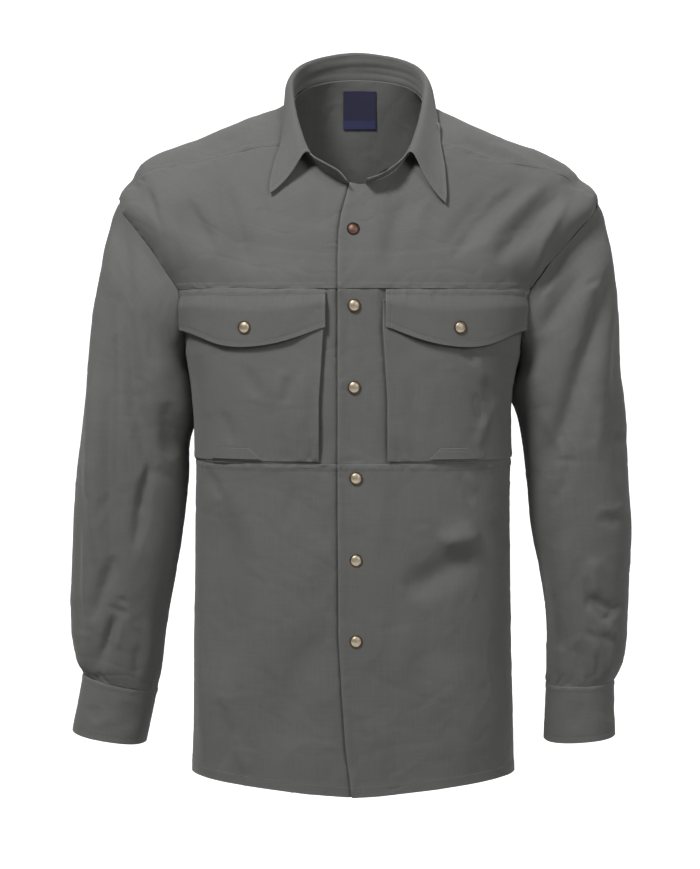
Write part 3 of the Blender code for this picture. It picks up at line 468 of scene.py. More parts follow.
def shell(name, grid, cloth, material, free=0.42):
    """A closed sheet of cloth below a grid of points, with rounded edges."""
    outer, normals, tube = grid
    rows, columns = outer.shape[:2]
    under = rows * columns
    inner = outer - normals * cloth
    wrap = columns if tube else columns - 1
    row, column = np.meshgrid(np.arange(rows - 1), np.arange(wrap), indexing="ij")
    beside = (column + 1) % columns
    quads = np.stack([
        row * columns + column, row * columns + beside,
        (row + 1) * columns + beside, (row + 1) * columns + column,
    ], axis=-1).reshape(-1, 4)
    faces = quads.tolist() + (quads[:, ::-1] + under).tolist()
    if tube:
        loops = [[(0, c) for c in range(columns)], [(rows - 1, c) for c in range(columns)]]
    else:
        around = [(0, c) for c in range(columns)] + [(r, columns - 1) for r in range(1, rows)]
        around += [(rows - 1, c) for c in range(columns - 2, -1, -1)]
        around += [(r, 0) for r in range(rows - 2, 0, -1)]
        loops = [around]
    rims, places = [], []
    for loop in loops:
        r, c = np.array(loop).T
        inside_r = np.clip(r, 1, rows - 2)
        inside_c = c if tube else np.clip(c, 1, columns - 2)
        outward = unit(outer[r, c] - outer[inside_r, inside_c])
        rims.append((outer[r, c] + inner[r, c]) / 2 + outward * cloth * free)
        first = 2 * under + sum(len(rim) for rim in rims[:-1])
        places.append(r * columns + c)
        count = len(loop)
        for k in range(count):
            here, there = places[-1][k], places[-1][(k + 1) % count]
            mid, next_mid = first + k, first + (k + 1) % count
            faces.append([here, there, next_mid, mid])
            faces.append([mid, next_mid, under + there, under + here])
    points = np.concatenate([outer.reshape(-1, 3), inner.reshape(-1, 3), *rims])
    down, across = lengths(outer, 0), lengths(outer, 1)
    middle = across[:, columns // 2][:, None]
    thread = np.stack([across - middle, down[:, columns // 2][:, None] + 0 * across], axis=-1)
    near = down if tube else np.minimum(across, across[:, -1:] - across)
    near = np.minimum(near, np.minimum(down, down[-1:] - down))
    # Nearness to the piece's edges, which the cloth's finish paints paler: partly wear, partly a painted edge
    # highlight.
    edge = np.exp(-near / 2.2)
    flat_thread, flat_edge = thread.reshape(-1, 2), edge.ravel()
    ends = np.concatenate(places)
    thread = np.concatenate([flat_thread, flat_thread, flat_thread[ends]])
    edge = np.concatenate([flat_edge, flat_edge, flat_edge[ends]])
    return cloth_object(name, points, faces, thread, edge, material)


SLACK, SLACK_WIDE, SLACK_LONG, CRINKLE = 0.9, 40.0, 75.0, 0.45


def crinkle(x, z, size, seed):
    """Short soft creases that wander over the cloth, from 0 beside them to 1 on their line."""
    bend = 0.5 * size * ripple(x / size / 2, z / size / 2, seed)
    line = ripple((x + bend) / size, (z - bend) / size / 1.7, seed + 1)
    return np.clip(1 - 4.5 * np.abs(line), 0, 1) ** 1.5


def rumple(grid, seed):
    """The soft unevenness of washed cotton, longer down the cloth than across it."""
    x, z = grid[..., 0] + 0.3 * grid[..., 1], grid[..., 2]
    slow = ripple((x + 0.3 * z) / SLACK_WIDE, z / SLACK_LONG, seed)
    quick = ripple((x - 0.2 * z) / (0.4 * SLACK_WIDE), z / (0.5 * SLACK_LONG), seed + 1)
    return SLACK * (slow + 0.35 * quick) + CRINKLE * (crinkle(x, z, 28, seed + 2) - crinkle(z, x, 19, seed + 7))


def cloth_piece(
    node, outer, sign, seed, sewn=(), rows=(), felled=(), creases=(), side=1, tube=False,
    cloth=CLOTH, slack=1.0, material=None, crease_share=1.9,
):
    """One piece of cloth in place of its solid: the outer face with its creases and what the sewing
    does to it, a wall below, and its place on the shirt's one body."""
    normals = facing(outer, sign, tube)
    lift = slack * rumple(outer, seed) + sewn_lift(outer, sewn, rows, felled, seed + 5)
    lift = lift + fold_lift(side * outer[..., 0], outer[..., 2], creases) * crease_share
    outer = outer + normals * lift[..., None]
    for edge in sewn:
        view = from_edge(outer, edge)
        view[0] += unit(view[3] - view[0]) * HALF_SEAM
    grid = Grid(outer, facing(outer, sign, tube), tube)
    piece = shell(f"{node}_cloth", grid, cloth, material or POPLIN)
    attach(piece, "root")
    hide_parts(node)
    return piece, grid


def from_edge(values, edge):
    """The same values, with this edge as the first row."""
    if edge == "first_row":
        return values
    if edge == "last_row":
        return values[::-1]
    turned = values.swapaxes(0, 1)
    return turned if edge == "first_column" else turned[::-1]


SEAMS = {"body": [], "sleeves": [], "collar": [], "pockets": []}
THREAD_LIFT = 0.1


def stitched(group, grid, rows):
    """Notes the lines on a piece that its sewing thread follows, each at its distance from an edge."""
    for edge, distance in rows:
        points, normals = from_edge(grid.points, edge), from_edge(grid.normals, edge)
        away = lengths(points, 0)
        below = np.clip((away < distance).sum(axis=0) - 1, 0, len(points) - 2)
        column = np.arange(points.shape[1])
        near, far = away[below, column], away[below + 1, column]
        share = np.clip((distance - near) / np.maximum(far - near, 1e-6), 0, 1)[:, None]
        line = points[below, column] * (1 - share) + points[below + 1, column] * share
        line = line + normals[below, column] * THREAD_LIFT
        ends = 3 if len(line) > 20 and not grid.tube else 0
        line = line[ends:len(line) - ends]
        SEAMS[group].append(np.concatenate([line, line[:1]]) if grid.tube and "row" in edge else line)


SEAM_SIDE = math.pi / 2
FRONT_NAMES = ((1, "left"), (-1, "right"))


def front_grid(side, levels, outer_angles, outer_levels, width):
    """Angles and levels of a front, from its free edge to the side seam, armhole or yoke."""
    share = shares(width)[None, :]
    edge = front_angle(edge_x(side, levels), levels)[:, None]
    angle = edge + (side * outer_angles[:, None] - edge) * share
    level = levels[:, None] + (outer_levels - levels)[:, None] * share
    return angle, level


LOWER_LONG, LOWER_WIDE = 359, 300
HEM_FOLD = (("first_row", 10.0),)
LOWER_ROWS = (("first_row", 10.0), ("last_row", 6.3))
for side, owner in FRONT_NAMES:
    levels = HEM + shares(LOWER_LONG) * (POCKET_SEAM - HEM)
    angle, level = front_grid(side, levels, np.full(levels.shape, SEAM_SIDE), levels, LOWER_WIDE)
    level = hem_rise(angle, level)
    outer = body(angle, level, lap_lift(side, angle, level))
    lower, grid = cloth_piece(
        f"front_lower_{owner}", outer, side, 10 + side, ("last_row", "last_column"), LOWER_ROWS,
        (("last_row", 5.8), ("first_row", 10.5)), LOWER_CREASES,
    )
    stitched("body", grid, LOWER_ROWS)


# Middle fronts
# The panels behind the pockets, from the pocket seam up to the chest seam, single cloth with both
# seam allowances felled inwards. Above the armpit their outer edge is the armhole.

ARM_LEVEL, ARM_REACH, ARM_SPREAD = 6, 1, 32
FRONT_CORNER, BACK_CORNER = 23, -42
MIDDLE_CREASES = (
    Fold(((150, -285), (164, -320)), 6, -1.0),
    Fold(((-150, -300), (-166, -335)), 6, -1.0),
)


def arm_place(turn):
    """Angle and level of the armhole, for the wearer's left: turn is 0 on the shoulder point."""
    turn = np.radians(turn)
    return np.radians(90 - ARM_SPREAD * np.sin(turn)), ARM_LEVEL + ARM_REACH * np.cos(turn)


def joined(*parts):
    """One row of values from several that share their ends."""
    return np.concatenate([parts[0], *(part[1:] for part in parts[1:])])


POCKET_INNER = (Edge(-393, 37), Edge(-330, 37), Edge(-251, 32), Edge(-224, 32))
POCKET_DIP = 1.8
MIDDLE_LONG, MIDDLE_WIDE = 190, 290
for side, owner in FRONT_NAMES:
    low_angle, low_level = arm_place(np.linspace(180, 90, 26))
    seam_levels = POCKET_SEAM + (ARMPIT - POCKET_SEAM) * shares(114)[:-6]
    levels = np.concatenate([seam_levels, low_level])
    angles = np.concatenate([np.full(seam_levels.shape, SEAM_SIDE), low_angle])
    near_top = CHEST_SEAM - np.array([0.055, 0.03, 0.012, 0])
    levels = np.concatenate([levels[levels < near_top[0]], near_top])
    angles = np.interp(levels, np.concatenate([seam_levels, low_level]), angles)
    angle, level = front_grid(side, levels, angles, levels, MIDDLE_WIDE)
    x, height = plain_body(angle, level)[..., 0], along(BODY_RINGS, level)[..., 5]
    inner_x = np.interp(height, [edge.z for edge in POCKET_INNER], [edge.x for edge in POCKET_INNER])
    dip = POCKET_DIP * np.exp(-(((side * x - inner_x) / 4) ** 2))
    outer = body(angle, level, lap_lift(side, angle, level) - dip)
    middle, grid = cloth_piece(
        f"front_middle_{owner}", outer, side, 20 + side, ("first_row", "last_row", "last_column"),
        creases=MIDDLE_CREASES,
    )


# Upper fronts
# The chest panels, from the chest seam up to the neck and the yoke. The seam is felled upwards, and
# its second row of stitching shows 6 mm above it. Folds fan down from the shoulder point.

YOKE_SEAM_LEVELS = (12, 11, 10, 9, 8)
YOKE_SEAM_ANGLES = (58, 59.5, 64, 71, 75.5)
UPPER_CREASES = (
    Fold(((232, -98), (204, -130), (176, -168)), 5, -1.6),
    Fold(((206, -92), (170, -112), (140, -140)), 6, -1.2),
    Fold(((186, -88), (150, -112), (118, -150), (96, -182)), 7, 1.3),
    Fold(((240, -104), (222, -132), (206, -158), (196, -196)), 5, 1.4),
    Fold(((128, -152), (104, -178)), 6, -1.0),
    Fold(((60, -104), (44, -150), (40, -186)), 9, -1.0),
    Fold(((78, -112), (66, -160)), 9, 0.9),
    Fold(((-110, -94), (-96, -130), (-91, -153)), 7, -0.9),
    Fold(((-140, -92), (-126, -140), (-112, -192)), 6, -0.8),
    Fold(((-190, -96), (-172, -128), (-148, -169)), 6, -1.1),
    Fold(((-204, -92), (-190, -140), (-178, -190)), 7, 0.9),
    Fold(((-226, -96), (-214, -130), (-204, -153)), 5, -1.6),
    Fold(((-40, -100), (-34, -150)), 10, -0.8),
    Fold(((20, -112), (26, -150), (22, -190)), 8, 0.7),
)
UPPER_ROWS = (("first_row", 6.3),)


def yoke_seam_angle(level):
    corner_angle, corner_level = arm_place(FRONT_CORNER)
    levels = (corner_level, *reversed(YOKE_SEAM_LEVELS))
    angles = (corner_angle, *np.radians(YOKE_SEAM_ANGLES[::-1]))
    rows = np.array(angles)[:, None]
    return along(rows, np.interp(level, levels, range(len(levels))))[..., 0]


UPPER_LONG, UPPER_WIDE = 330, 250
for side, owner in FRONT_NAMES:
    arm_turns = np.interp(shares(UPPER_LONG), [0, 0.38], [90, FRONT_CORNER])
    arm_part = shares(UPPER_LONG) < 0.38
    arm_angle, arm_level = arm_place(arm_turns)
    corner_level = arm_place(FRONT_CORNER)[1]
    seam_level = np.interp(shares(UPPER_LONG), [0.38, 1], [corner_level, NECK])
    levels = np.where(arm_part, arm_level, seam_level)
    angles = np.where(arm_part, arm_angle, yoke_seam_angle(seam_level))
    left_levels = CHEST_SEAM + shares(UPPER_LONG) * (NECK - CHEST_SEAM)
    angle, level = front_grid(side, left_levels, angles, levels, UPPER_WIDE)
    outer = body(angle, level, lap_lift(side, angle, level))
    upper, grid = cloth_piece(
        f"front_upper_{owner}", outer, side, 30 + side, ("first_row", "last_column"), UPPER_ROWS,
        (("first_row", 5.8),), UPPER_CREASES,
    )
    stitched("body", grid, UPPER_ROWS)


# Yoke
# The yoke lies over both shoulders, from seams in front of the shoulder ridge to one across the
# back. Its seams are felled over it, with two rows of stitching, and pucker the cloth above them.

YOKE_BACK_LEVEL = 8.95
YOKE_DEEP = 205
YOKE_SEWN = ("last_row", "first_column", "last_column")
YOKE_ROWS = (("first_column", 1.5), ("first_column", 6.3), ("last_column", 1.5), ("last_column", 6.3))
YOKE_FELLED = (("first_column", 5.8), ("last_column", 5.8))
YOKE_CREASES = (
    Fold(((120, -46), (150, -62), (178, -70)), 6, -1.0),
    Fold(((150, -50), (196, -72)), 6, 0.9),
    Fold(((196, -60), (232, -84)), 6, -1.0),
    Fold(((-118, -36), (-150, -52)), 7, -0.9),
    Fold(((-170, -50), (-206, -68)), 7, 0.8),
)


def back_seam(share):
    """Angle and level of the yoke's back seam, from the armhole (0) to the centre back (1)."""
    angle, level = arm_place(BACK_CORNER)
    rise = np.sin(share * math.pi / 2) ** 1.15
    return angle + (math.pi - angle) * share, level + (YOKE_BACK_LEVEL - level) * rise


def mirrored(half):
    """A row of angles from the left over the centre back, and on to the same on the right."""
    return np.concatenate([half, 2 * math.pi - half[-2::-1]])


def both_halves(half):
    return np.concatenate([half, half[-2::-1]])


ARM_STEPS, BACK_STEPS = 50, 84
arm_turns = FRONT_CORNER + (BACK_CORNER - FRONT_CORNER) * shares(2 * ARM_STEPS, 2.0)
arm_angle, arm_level = arm_place(arm_turns)
back_share = np.linspace(0, 1, BACK_STEPS)
seam_angle, seam_level = back_seam(back_share[1:])
half_angle = np.concatenate([arm_angle, seam_angle])
half_level = np.concatenate([arm_level, seam_level])
start, arm_end = math.radians(YOKE_SEAM_ANGLES[0]), math.radians(78)
arm_share = (arm_turns - FRONT_CORNER) / (BACK_CORNER - FRONT_CORNER)
inner = np.concatenate([start + (arm_end - start) * arm_share, arm_end + (math.pi - arm_end) * back_share[1:]])
outer_angle, outer_level = mirrored(half_angle), both_halves(half_level)
inner_angle = mirrored(inner)
share = shares(YOKE_DEEP, 3.0)[:, None]
bend = (yoke_seam_angle(NECK - share * (NECK - arm_level[0])) - start) / (arm_angle[0] - start)
straight = np.abs(outer_angle - math.pi) / (math.pi - arm_angle[0])
turn = share + (bend - share) * straight**2
angle = inner_angle + (outer_angle - inner_angle) * turn
level = NECK + (outer_level - NECK) * share
yoke, grid = cloth_piece(
    "yoke", body(angle, level), -1, 40, YOKE_SEWN, YOKE_ROWS + (("last_row", 1.5), ("last_row", 6.3)),
    YOKE_FELLED + (("last_row", 5.8),), YOKE_CREASES,
)
stitched("body", grid, YOKE_ROWS + (("last_row", 1.5), ("last_row", 6.3)))


# Back
# One panel from the yoke down to the hem, single cloth with no pleat. It hangs in long soft folds
# below the shoulder blades, with shorter ones in the small of the back.

BACK_CREASES = (
    Fold(((30, -190), (24, -260), (34, -330)), 12, 1.2),
    Fold(((-40, -180), (-28, -250)), 12, 1.2),
    Fold(((140, -240), (100, -290), (70, -306)), 8, -1.6),
    Fold(((-144, -236), (-106, -282), (-80, -300)), 8, -1.6),
    Fold(((130, -350), (90, -384), (40, -396)), 9, 1.5),
    Fold(((-126, -344), (-84, -380), (-30, -390)), 9, 1.5),
    Fold(((150, -410), (110, -440)), 8, -1.4),
    Fold(((-150, -400), (-104, -436)), 8, -1.4),
    Fold(((70, -520), (62, -620)), 14, -1.4),
    Fold(((-56, -540), (-50, -660)), 14, -1.3),
    Fold(((150, -560), (146, -700)), 12, -1.5),
    Fold(((-148, -540), (-150, -690)), 12, -1.5),
    Fold(((30, -640), (36, -735)), 12, 1.2),
)
BACK_ROWS = (("first_row", 10.0), ("first_column", 1.5), ("first_column", 6.3), ("last_column", 1.5),
             ("last_column", 6.3))
BACK_FELLED = (("first_row", 10.5), ("first_column", 5.8), ("last_column", 5.8))
BACK_STEP = 3.6
back_arm_turns = np.linspace(-180, BACK_CORNER, 50)[1:]
arm_angle, arm_level = arm_place(back_arm_turns)
side_levels = np.concatenate([HEM + shares(490, BACK_STEP) * (ARMPIT - HEM), arm_level])
side_angles = np.concatenate([np.full(len(side_levels) - len(arm_level), SEAM_SIDE), arm_angle])
seam_angle, seam_level = back_seam(shares(330, BACK_STEP))
climb = np.clip((side_levels - ARMPIT) / (side_levels[-1] - ARMPIT), 0, 1)[:, None]
share = (seam_angle - seam_angle[0]) / (math.pi - seam_angle[0])
share = share[share < 0.985]
seam_level = np.append(seam_level[:len(share)], YOKE_BACK_LEVEL)
share = np.append(share, 1.0)
angle = side_angles[:, None] + (math.pi - side_angles[:, None]) * share
level = side_levels[:, None] + (seam_level - seam_level[0]) * climb
level = hem_rise(angle, level)
angle = np.concatenate([angle, 2 * math.pi - angle[:, -2::-1]], axis=1)
level = np.concatenate([level, level[:, -2::-1]], axis=1)
back, grid = cloth_piece(
    "back", body(angle, level), 1, 50, ("last_row", "first_column", "last_column"), BACK_ROWS,
    BACK_FELLED, BACK_CREASES,
)
stitched("body", grid, BACK_ROWS)


# Sleeves
# Each sleeve is one tube with a seam under the arm, set flat into the armhole and gathered a little
# into its cuff. It breaks into folds at the elbow, and drags from the armpit.

SleeveRing = namedtuple("SleeveRing", "outer_x outer_z inner_x inner_z front_y back_y")
LEFT_SLEEVE = (
    SleeveRing(271, -112, 183, -283, -70, 64),
    SleeveRing(284, -150, 182, -297, -74, 67),
    SleeveRing(292, -195, 178, -311, -77, 68),
    SleeveRing(297, -245, 174, -325, -78, 68),
    SleeveRing(299, -300, 184, -352, -77, 66),
    SleeveRing(305, -355, 190, -380, -75, 62),
    SleeveRing(307, -415, 195, -423, -72, 58),
    SleeveRing(311, -475, 200, -475, -69, 52),
    SleeveRing(309, -530, 211, -532, -65, 46),
    SleeveRing(308, -580, 217, -580, -60, 40),
    SleeveRing(304, -622, 217, -622, -54, 34),
    SleeveRing(293, -647, 217.5, -651, -47, 30),
)
RIGHT_SLEEVE = (
    SleeveRing(259, -112, 183, -283, -70, 64),
    SleeveRing(273, -150, 182, -297, -74, 67),
    SleeveRing(281, -200, 178, -313, -77, 68),
    SleeveRing(288, -245, 175, -330, -78, 68),
    SleeveRing(295, -300, 174, -350, -77, 66),
    SleeveRing(302, -360, 183, -380, -75, 62),
    SleeveRing(309, -418, 184, -423, -72, 58),
    SleeveRing(313, -478, 190, -478, -69, 52),
    SleeveRing(316, -535, 200, -535, -65, 46),
    SleeveRing(317, -585, 209, -585, -60, 40),
    SleeveRing(312, -622, 214, -630, -54, 34),
    SleeveRing(303, -639, 220, -658, -47, 30),
)
SLEEVE_SQUARE = 2.3
ARMHOLE_BLEND = 1.8
LEFT_SLEEVE_FOLDS = (
    Fold(((252, -188), (222, -232), (202, -262)), 11, -5.0),
    Fold(((290, -170), (268, -245), (254, -284), (232, -350), (214, -392), (200, -440)), 12, -8.0),
    Fold(((296, -220), (290, -330), (290, -430)), 9, -4.5),
    Fold(((286, -370), (310, -384)), 6, -2.2),
    Fold(((214, -398), (250, -396)), 4, -1.2),
    Fold(((270, -456), (310, -464)), 5, -1.6),
    Fold(((252, -546), (284, -562), (306, -552)), 6, -3.4),
    Fold(((252, -586), (292, -600)), 6, -2.2),
    Fold(((264, -500), (262, -550)), 10, 3.0),
    Fold(((238, -470), (228, -540), (232, -600)), 13, 3.0),
)
RIGHT_SLEEVE_FOLDS = (
    Fold(((250, -110), (246, -240), (236, -340), (220, -406), (186, -428)), 12, -7.5),
    Fold(((276, -150), (282, -280), (286, -380), (282, -480), (272, -560)), 9, 6.0),
    Fold(((256, -130), (264, -260), (268, -380), (264, -480), (255, -560)), 9, -6.0),
    Fold(((260, -498), (272, -530), (290, -580)), 7, -4.5),
    Fold(((222, -398), (230, -440), (239, -500)), 7, -5.0),
    Fold(((204, -330), (198, -400)), 10, -4.0),
    Fold(((272, -556), (244, -568)), 4, -1.6),
    Fold(((256, -560), (286, -640)), 7, -3.0),
    Fold(((304, -450), (306, -560), (302, -620)), 9, -3.5),
)
LEFT_CREASES = (
    Fold(((252, -206), (272, -198)), 4, -1.2),
    Fold(((250, -214), (270, -206)), 4, 0.9),
    Fold(((236, -160), (214, -196), (200, -224)), 5, -1.6),
    Fold(((224, -192), (206, -222)), 5, 1.2),
    Fold(((280, -300), (282, -360), (278, -400)), 5, -1.3),
    Fold(((268, -330), (266, -400)), 6, 1.1),
    Fold(((206, -340), (226, -392)), 6, 1.2),
    Fold(((240, -360), (232, -420), (214, -452)), 6, -1.4),
    Fold(((262, -450), (286, -452), (304, -446)), 4, 1.1),
    Fold(((264, -462), (292, -468)), 4, -1.2),
    Fold(((256, -520), (258, -566)), 4, -1.4),
    Fold(((250, -548), (276, -572), (296, -566)), 4, -2.0),
    Fold(((262, -580), (276, -604)), 4, 1.3),
    Fold(((280, -576), (292, -598)), 4, 1.2),
    Fold(((246, -596), (252, -640)), 5, -1.4),
    Fold(((228, -600), (232, -644)), 5, 1.0),
    Fold(((270, -606), (272, -642)), 4, -1.3),
    Fold(((286, -604), (284, -640)), 4, 1.0),
)
RIGHT_CREASES = (
    Fold(((244, -120), (228, -150), (212, -170)), 5, -1.6),
    Fold(((234, -128), (214, -164), (200, -196)), 5, 1.3),
    Fold(((262, -150), (262, -230), (256, -310)), 6, 1.3),
    Fold(((276, -230), (284, -330)), 6, -1.3),
    Fold(((226, -230), (214, -300)), 7, -1.4),
    Fold(((232, -396), (222, -450)), 6, 1.2),
    Fold(((222, -404), (234, -460)), 5, -1.5),
    Fold(((286, -390), (292, -440)), 5, 1.1),
    Fold(((270, -430), (282, -470)), 5, -1.3),
    Fold(((258, -548), (246, -556)), 3, -1.6),
    Fold(((262, -562), (272, -600), (284, -628)), 4, -1.8),
    Fold(((254, -570), (262, -610)), 5, 1.3),
    Fold(((296, -470), (300, -560)), 5, 1.4),
    Fold(((236, -600), (242, -644)), 5, -1.3),
    Fold(((276, -604), (286, -640)), 4, 1.2),
    Fold(((224, -560), (228, -640)), 6, 1.1),
)
BACK_SLEEVE_CREASES = (
    Fold(((284, -300), (250, -340), (220, -352)), 7, -2.2),
    Fold(((292, -352), (262, -380), (226, -388)), 7, 2.0),
    Fold(((294, -402), (258, -424), (222, -420)), 7, -2.4),
    Fold(((290, -450), (262, -462)), 7, 1.8),
    Fold(((250, -210), (232, -280)), 9, -1.8),
    Fold(((276, -520), (270, -610)), 7, -1.8),
    Fold(((250, -540), (252, -630)), 7, 1.6),
    Fold(((296, -560), (290, -630)), 6, -1.5),
    Fold(((234, -590), (236, -645)), 5, -1.4),
)


def tube_ring(ring, side, turn):
    """Points of a sleeve ring. Turn is 0 at its outer point and 90 degrees in front."""
    across, ahead = oval(turn, SLEEVE_SQUARE)
    out = np.where(np.cos(turn) > 0, ahead, -ahead)
    middle_x, middle_z = (ring.outer_x + ring.inner_x) / 2, (ring.outer_z + ring.inner_z) / 2
    half_x, half_z = (ring.outer_x - ring.inner_x) / 2, (ring.outer_z - ring.inner_z) / 2
    depth = np.where(across > 0, -ring.front_y, ring.back_y)
    x = side * (middle_x + half_x * out)
    return np.stack([x, -depth * across, middle_z + half_z * out], axis=-1)


def plain_sleeve(side, turn, step):
    table = LEFT_SLEEVE if side > 0 else RIGHT_SLEEVE
    ring = SleeveRing(*np.moveaxis(along(table, step), -1, 0))
    angle, level = arm_place(np.degrees(turn))
    loop = plain_body(side * angle, level)
    first = tube_ring(SleeveRing(*np.moveaxis(along(table, 0 * step), -1, 0)), side, turn)
    stay = 1 - smooth(step / ARMHOLE_BLEND)
    return eased_shoulder(tube_ring(ring, side, turn) + (loop - first) * stay[..., None])


GATHER, GATHER_PITCH = 0.5, 8.0
SLEEVE_AROUND, SLEEVE_LONG = 138, 560
for side, owner in FRONT_NAMES:
    turns = np.linspace(0, 2 * math.pi, SLEEVE_AROUND, endpoint=False)
    steps = 11 * shares(SLEEVE_LONG)
    turn, step = np.meshgrid(turns, steps)
    base = plain_sleeve(side, turn, step)
    around = plain_sleeve(side, turn + 1e-3, step) - plain_sleeve(side, turn - 1e-3, step)
    down = plain_sleeve(side, turn, step + 1e-3) - plain_sleeve(side, turn, step - 1e-3)
    out = side * unit(np.cross(around, down))
    x, z = side * base[..., 0], base[..., 2]
    folds, creases = (LEFT_SLEEVE_FOLDS, LEFT_CREASES) if side > 0 else (RIGHT_SLEEVE_FOLDS, RIGHT_CREASES)
    in_front = smooth(1.6 * np.sin(turn))
    behind = smooth(-1.6 * np.sin(turn))
    settled = smooth(step / 0.8)
    lift = (1.25 * fold_lift(x, z, folds) + 1.6 * fold_lift(x, z, creases)) * in_front * settled
    lift += fold_lift(x, z, BACK_SLEEVE_CREASES) * behind * settled
    gather = ripple(turn * 45 / GATHER_PITCH + 9, 0 * turn, 60 + side)
    lift += GATHER * gather * np.exp(-(((11 - step) / 0.5) ** 2)) * smooth((11 - step) / 0.09)
    outer = base + out * lift[..., None]
    place_angle, place_level = arm_place(np.degrees(turns))
    flow = unit(outer[4] - outer[0])
    away = normals_of(folded_body, side * place_angle, place_level)
    near = (1 - smooth(lengths(outer, 0) / 14))[..., None]
    start = folded_body(side * place_angle, place_level) + (flow + away) * HALF_SEAM * 1.6
    outer = outer + (start - outer[0])[None] * near
    sleeve, grid = cloth_piece(
        f"sleeve_{owner}", outer, side, 70 + side, ("first_row", "last_row"), side=side, tube=True,
    )


# Cuffs
# A cuff is a folded band of doubled poplin, stitched all round 6 mm from its edge. It laps over
# itself at the outer back of the wrist, where one snap closes it.

LEFT_CUFF_END = SleeveRing(295, -708, 215, -714, -47, 31)
RIGHT_CUFF_END = SleeveRing(316, -703, 233, -717, -47, 31)
CUFF_START, CUFF_TURN, CUFF_LIFT = -70, 384, 2.3
CUFF_CLOTH = 1.6
CUFF_ROWS = tuple((edge, 5.4) for edge in ("first_row", "last_row", "first_column", "last_column"))
CUFF_CREASES = (
    Fold(((252, -664), (246, -700)), 8, -0.8),
    Fold(((288, -668), (284, -692)), 7, -0.7),
    Fold(((262, -684), (290, -690)), 7, 0.6),
)


def cuff_points(side, share, turn, lift):
    table = LEFT_SLEEVE if side > 0 else RIGHT_SLEEVE
    end = LEFT_CUFF_END if side > 0 else RIGHT_CUFF_END
    rings = np.array(table[-1]) + (np.array(end) - np.array(table[-1])) * share[..., None]
    ring = SleeveRing(*np.moveaxis(rings, -1, 0))
    around = tube_ring(ring, side, turn + 1e-3) - tube_ring(ring, side, turn - 1e-3)
    down = np.array([0, 0, -1.0])
    out = side * unit(np.cross(around, np.broadcast_to(down, around.shape)))
    return tube_ring(ring, side, turn) + out * lift[..., None]


for side, owner in FRONT_NAMES:
    turn, share = np.meshgrid(
        np.radians(CUFF_START + shares(250) * CUFF_TURN), 0.004 + 0.996 * shares(60, 2.2),
    )
    travelled = np.degrees(turn) - CUFF_START
    lift = CUFF_LIFT * smooth((travelled - CUFF_TURN + 66) / 40)
    cuff, grid = cloth_piece(
        f"cuff_{owner}", cuff_points(side, share, turn, lift), side, 80 + side, ("first_row",),
        CUFF_ROWS, (("first_row", 5.0),), CUFF_CREASES, side, cloth=CUFF_CLOTH, slack=0.5,
    )
    stitched("sleeves", grid, CUFF_ROWS)


# Collar stand
# A stiffened band of two layers on the neck seam. Its back has creased under the leaf's fold, and
# its two ends fall open in front, with one socketed snap inside the wearer's left end.

COLLAR_CLOTH = 1.8
StandPoint = namedtuple("StandPoint", "foot x y z")
STAND_TOP = (
    StandPoint(180, 0, 70, 56.5), StandPoint(140, 49, 54, 47), StandPoint(106, 71, 20, 27),
    StandPoint(76, 70.5, -22, -6), StandPoint(51, 61.5, -58, -42), StandPoint(35, 52.5, -80, -64),
)
STAND_FRONT = {
    1: (StandPoint(23, 37, -101, -80), StandPoint(13.5, 22, -107, -89), StandPoint(6, 9.5, -108, -93)),
    -1: (StandPoint(23, 37, -97, -75), StandPoint(14, 22, -104, -84), StandPoint(9, 13, -106, -94)),
}
STAND_SEAT = 1.2
STAND_ROWS = tuple((edge, 2.0) for edge in ("first_row",))
STAND_LONG, STAND_TALL = 420, 30
STAND_WAVE, STAND_WAVE_TALL, STAND_WAVE_LONG = 0.9, 6.0, 46.0


def both_sides(left, right, share):
    """A line from the wearer's right (-1) over the centre back (0) to the left (1). The tables run
    from the back to the front, and their first two columns change sign on the right."""
    right = [(-first, -second, *rest) for first, second, *rest in right[:0:-1]]
    return along(right + list(left), (np.asarray(share, float) + 1) * (len(left) - 1))


def stand_line(share):
    """Angle from the centre back of the stand's foot, and the place of its top."""
    left, right = (
        [(180 - row.foot, row.x, row.y, row.z) for row in STAND_TOP + STAND_FRONT[side]]
        for side in (1, -1)
    )
    line = both_sides(left, right, share)
    return np.radians(line[..., 0]), line[..., 1:] + [BODY_RINGS[NECK].centre_x, 0, 0]


def stand_points(share, height):
    """Points of the stand's middle: height runs from 0 at the neck seam to 1 at its top."""
    turn, top = stand_line(share)
    level = np.full(share.shape, NECK, float)
    foot = plain_body(math.pi - turn, level)
    seat = STAND_SEAT + np.where(turn > 0, lap_lift(1, math.pi - turn, level), 0)
    foot = foot + normals_of(plain_body, math.pi - turn, level) * seat[..., None]
    foot = foot + unit(top - foot) * 2 * HALF_SEAM
    return foot + (top - foot) * np.asarray(height)[..., None]


def stand_normals(share, height):
    across = stand_points(share + 1e-3, height) - stand_points(share - 1e-3, height)
    rise = stand_points(share, height + 1e-2) - stand_points(share, height - 1e-2)
    return unit(np.cross(rise, across))


share, height = np.meshgrid(2 * shares(STAND_LONG) - 1, shares(STAND_TALL, 1.6))
middle, out = stand_points(share, height), stand_normals(share, height)
behind = np.exp(-((share / 0.34) ** 4))
wave = ripple(share * STAND_LONG / 2 / STAND_WAVE_LONG + 20, height * STAND_TALL / STAND_WAVE_TALL, 91)
wave = wave * smooth(height / 0.2) * smooth((1 - height) / 0.12)
middle = middle + out * (STAND_WAVE * wave * behind)[..., None]
stand, grid = cloth_piece(
    "collar_stand", middle + out * COLLAR_CLOTH / 2, -1, 90, (), STAND_ROWS, cloth=COLLAR_CLOTH, slack=0.4,
)
stitched("collar", grid, STAND_ROWS)


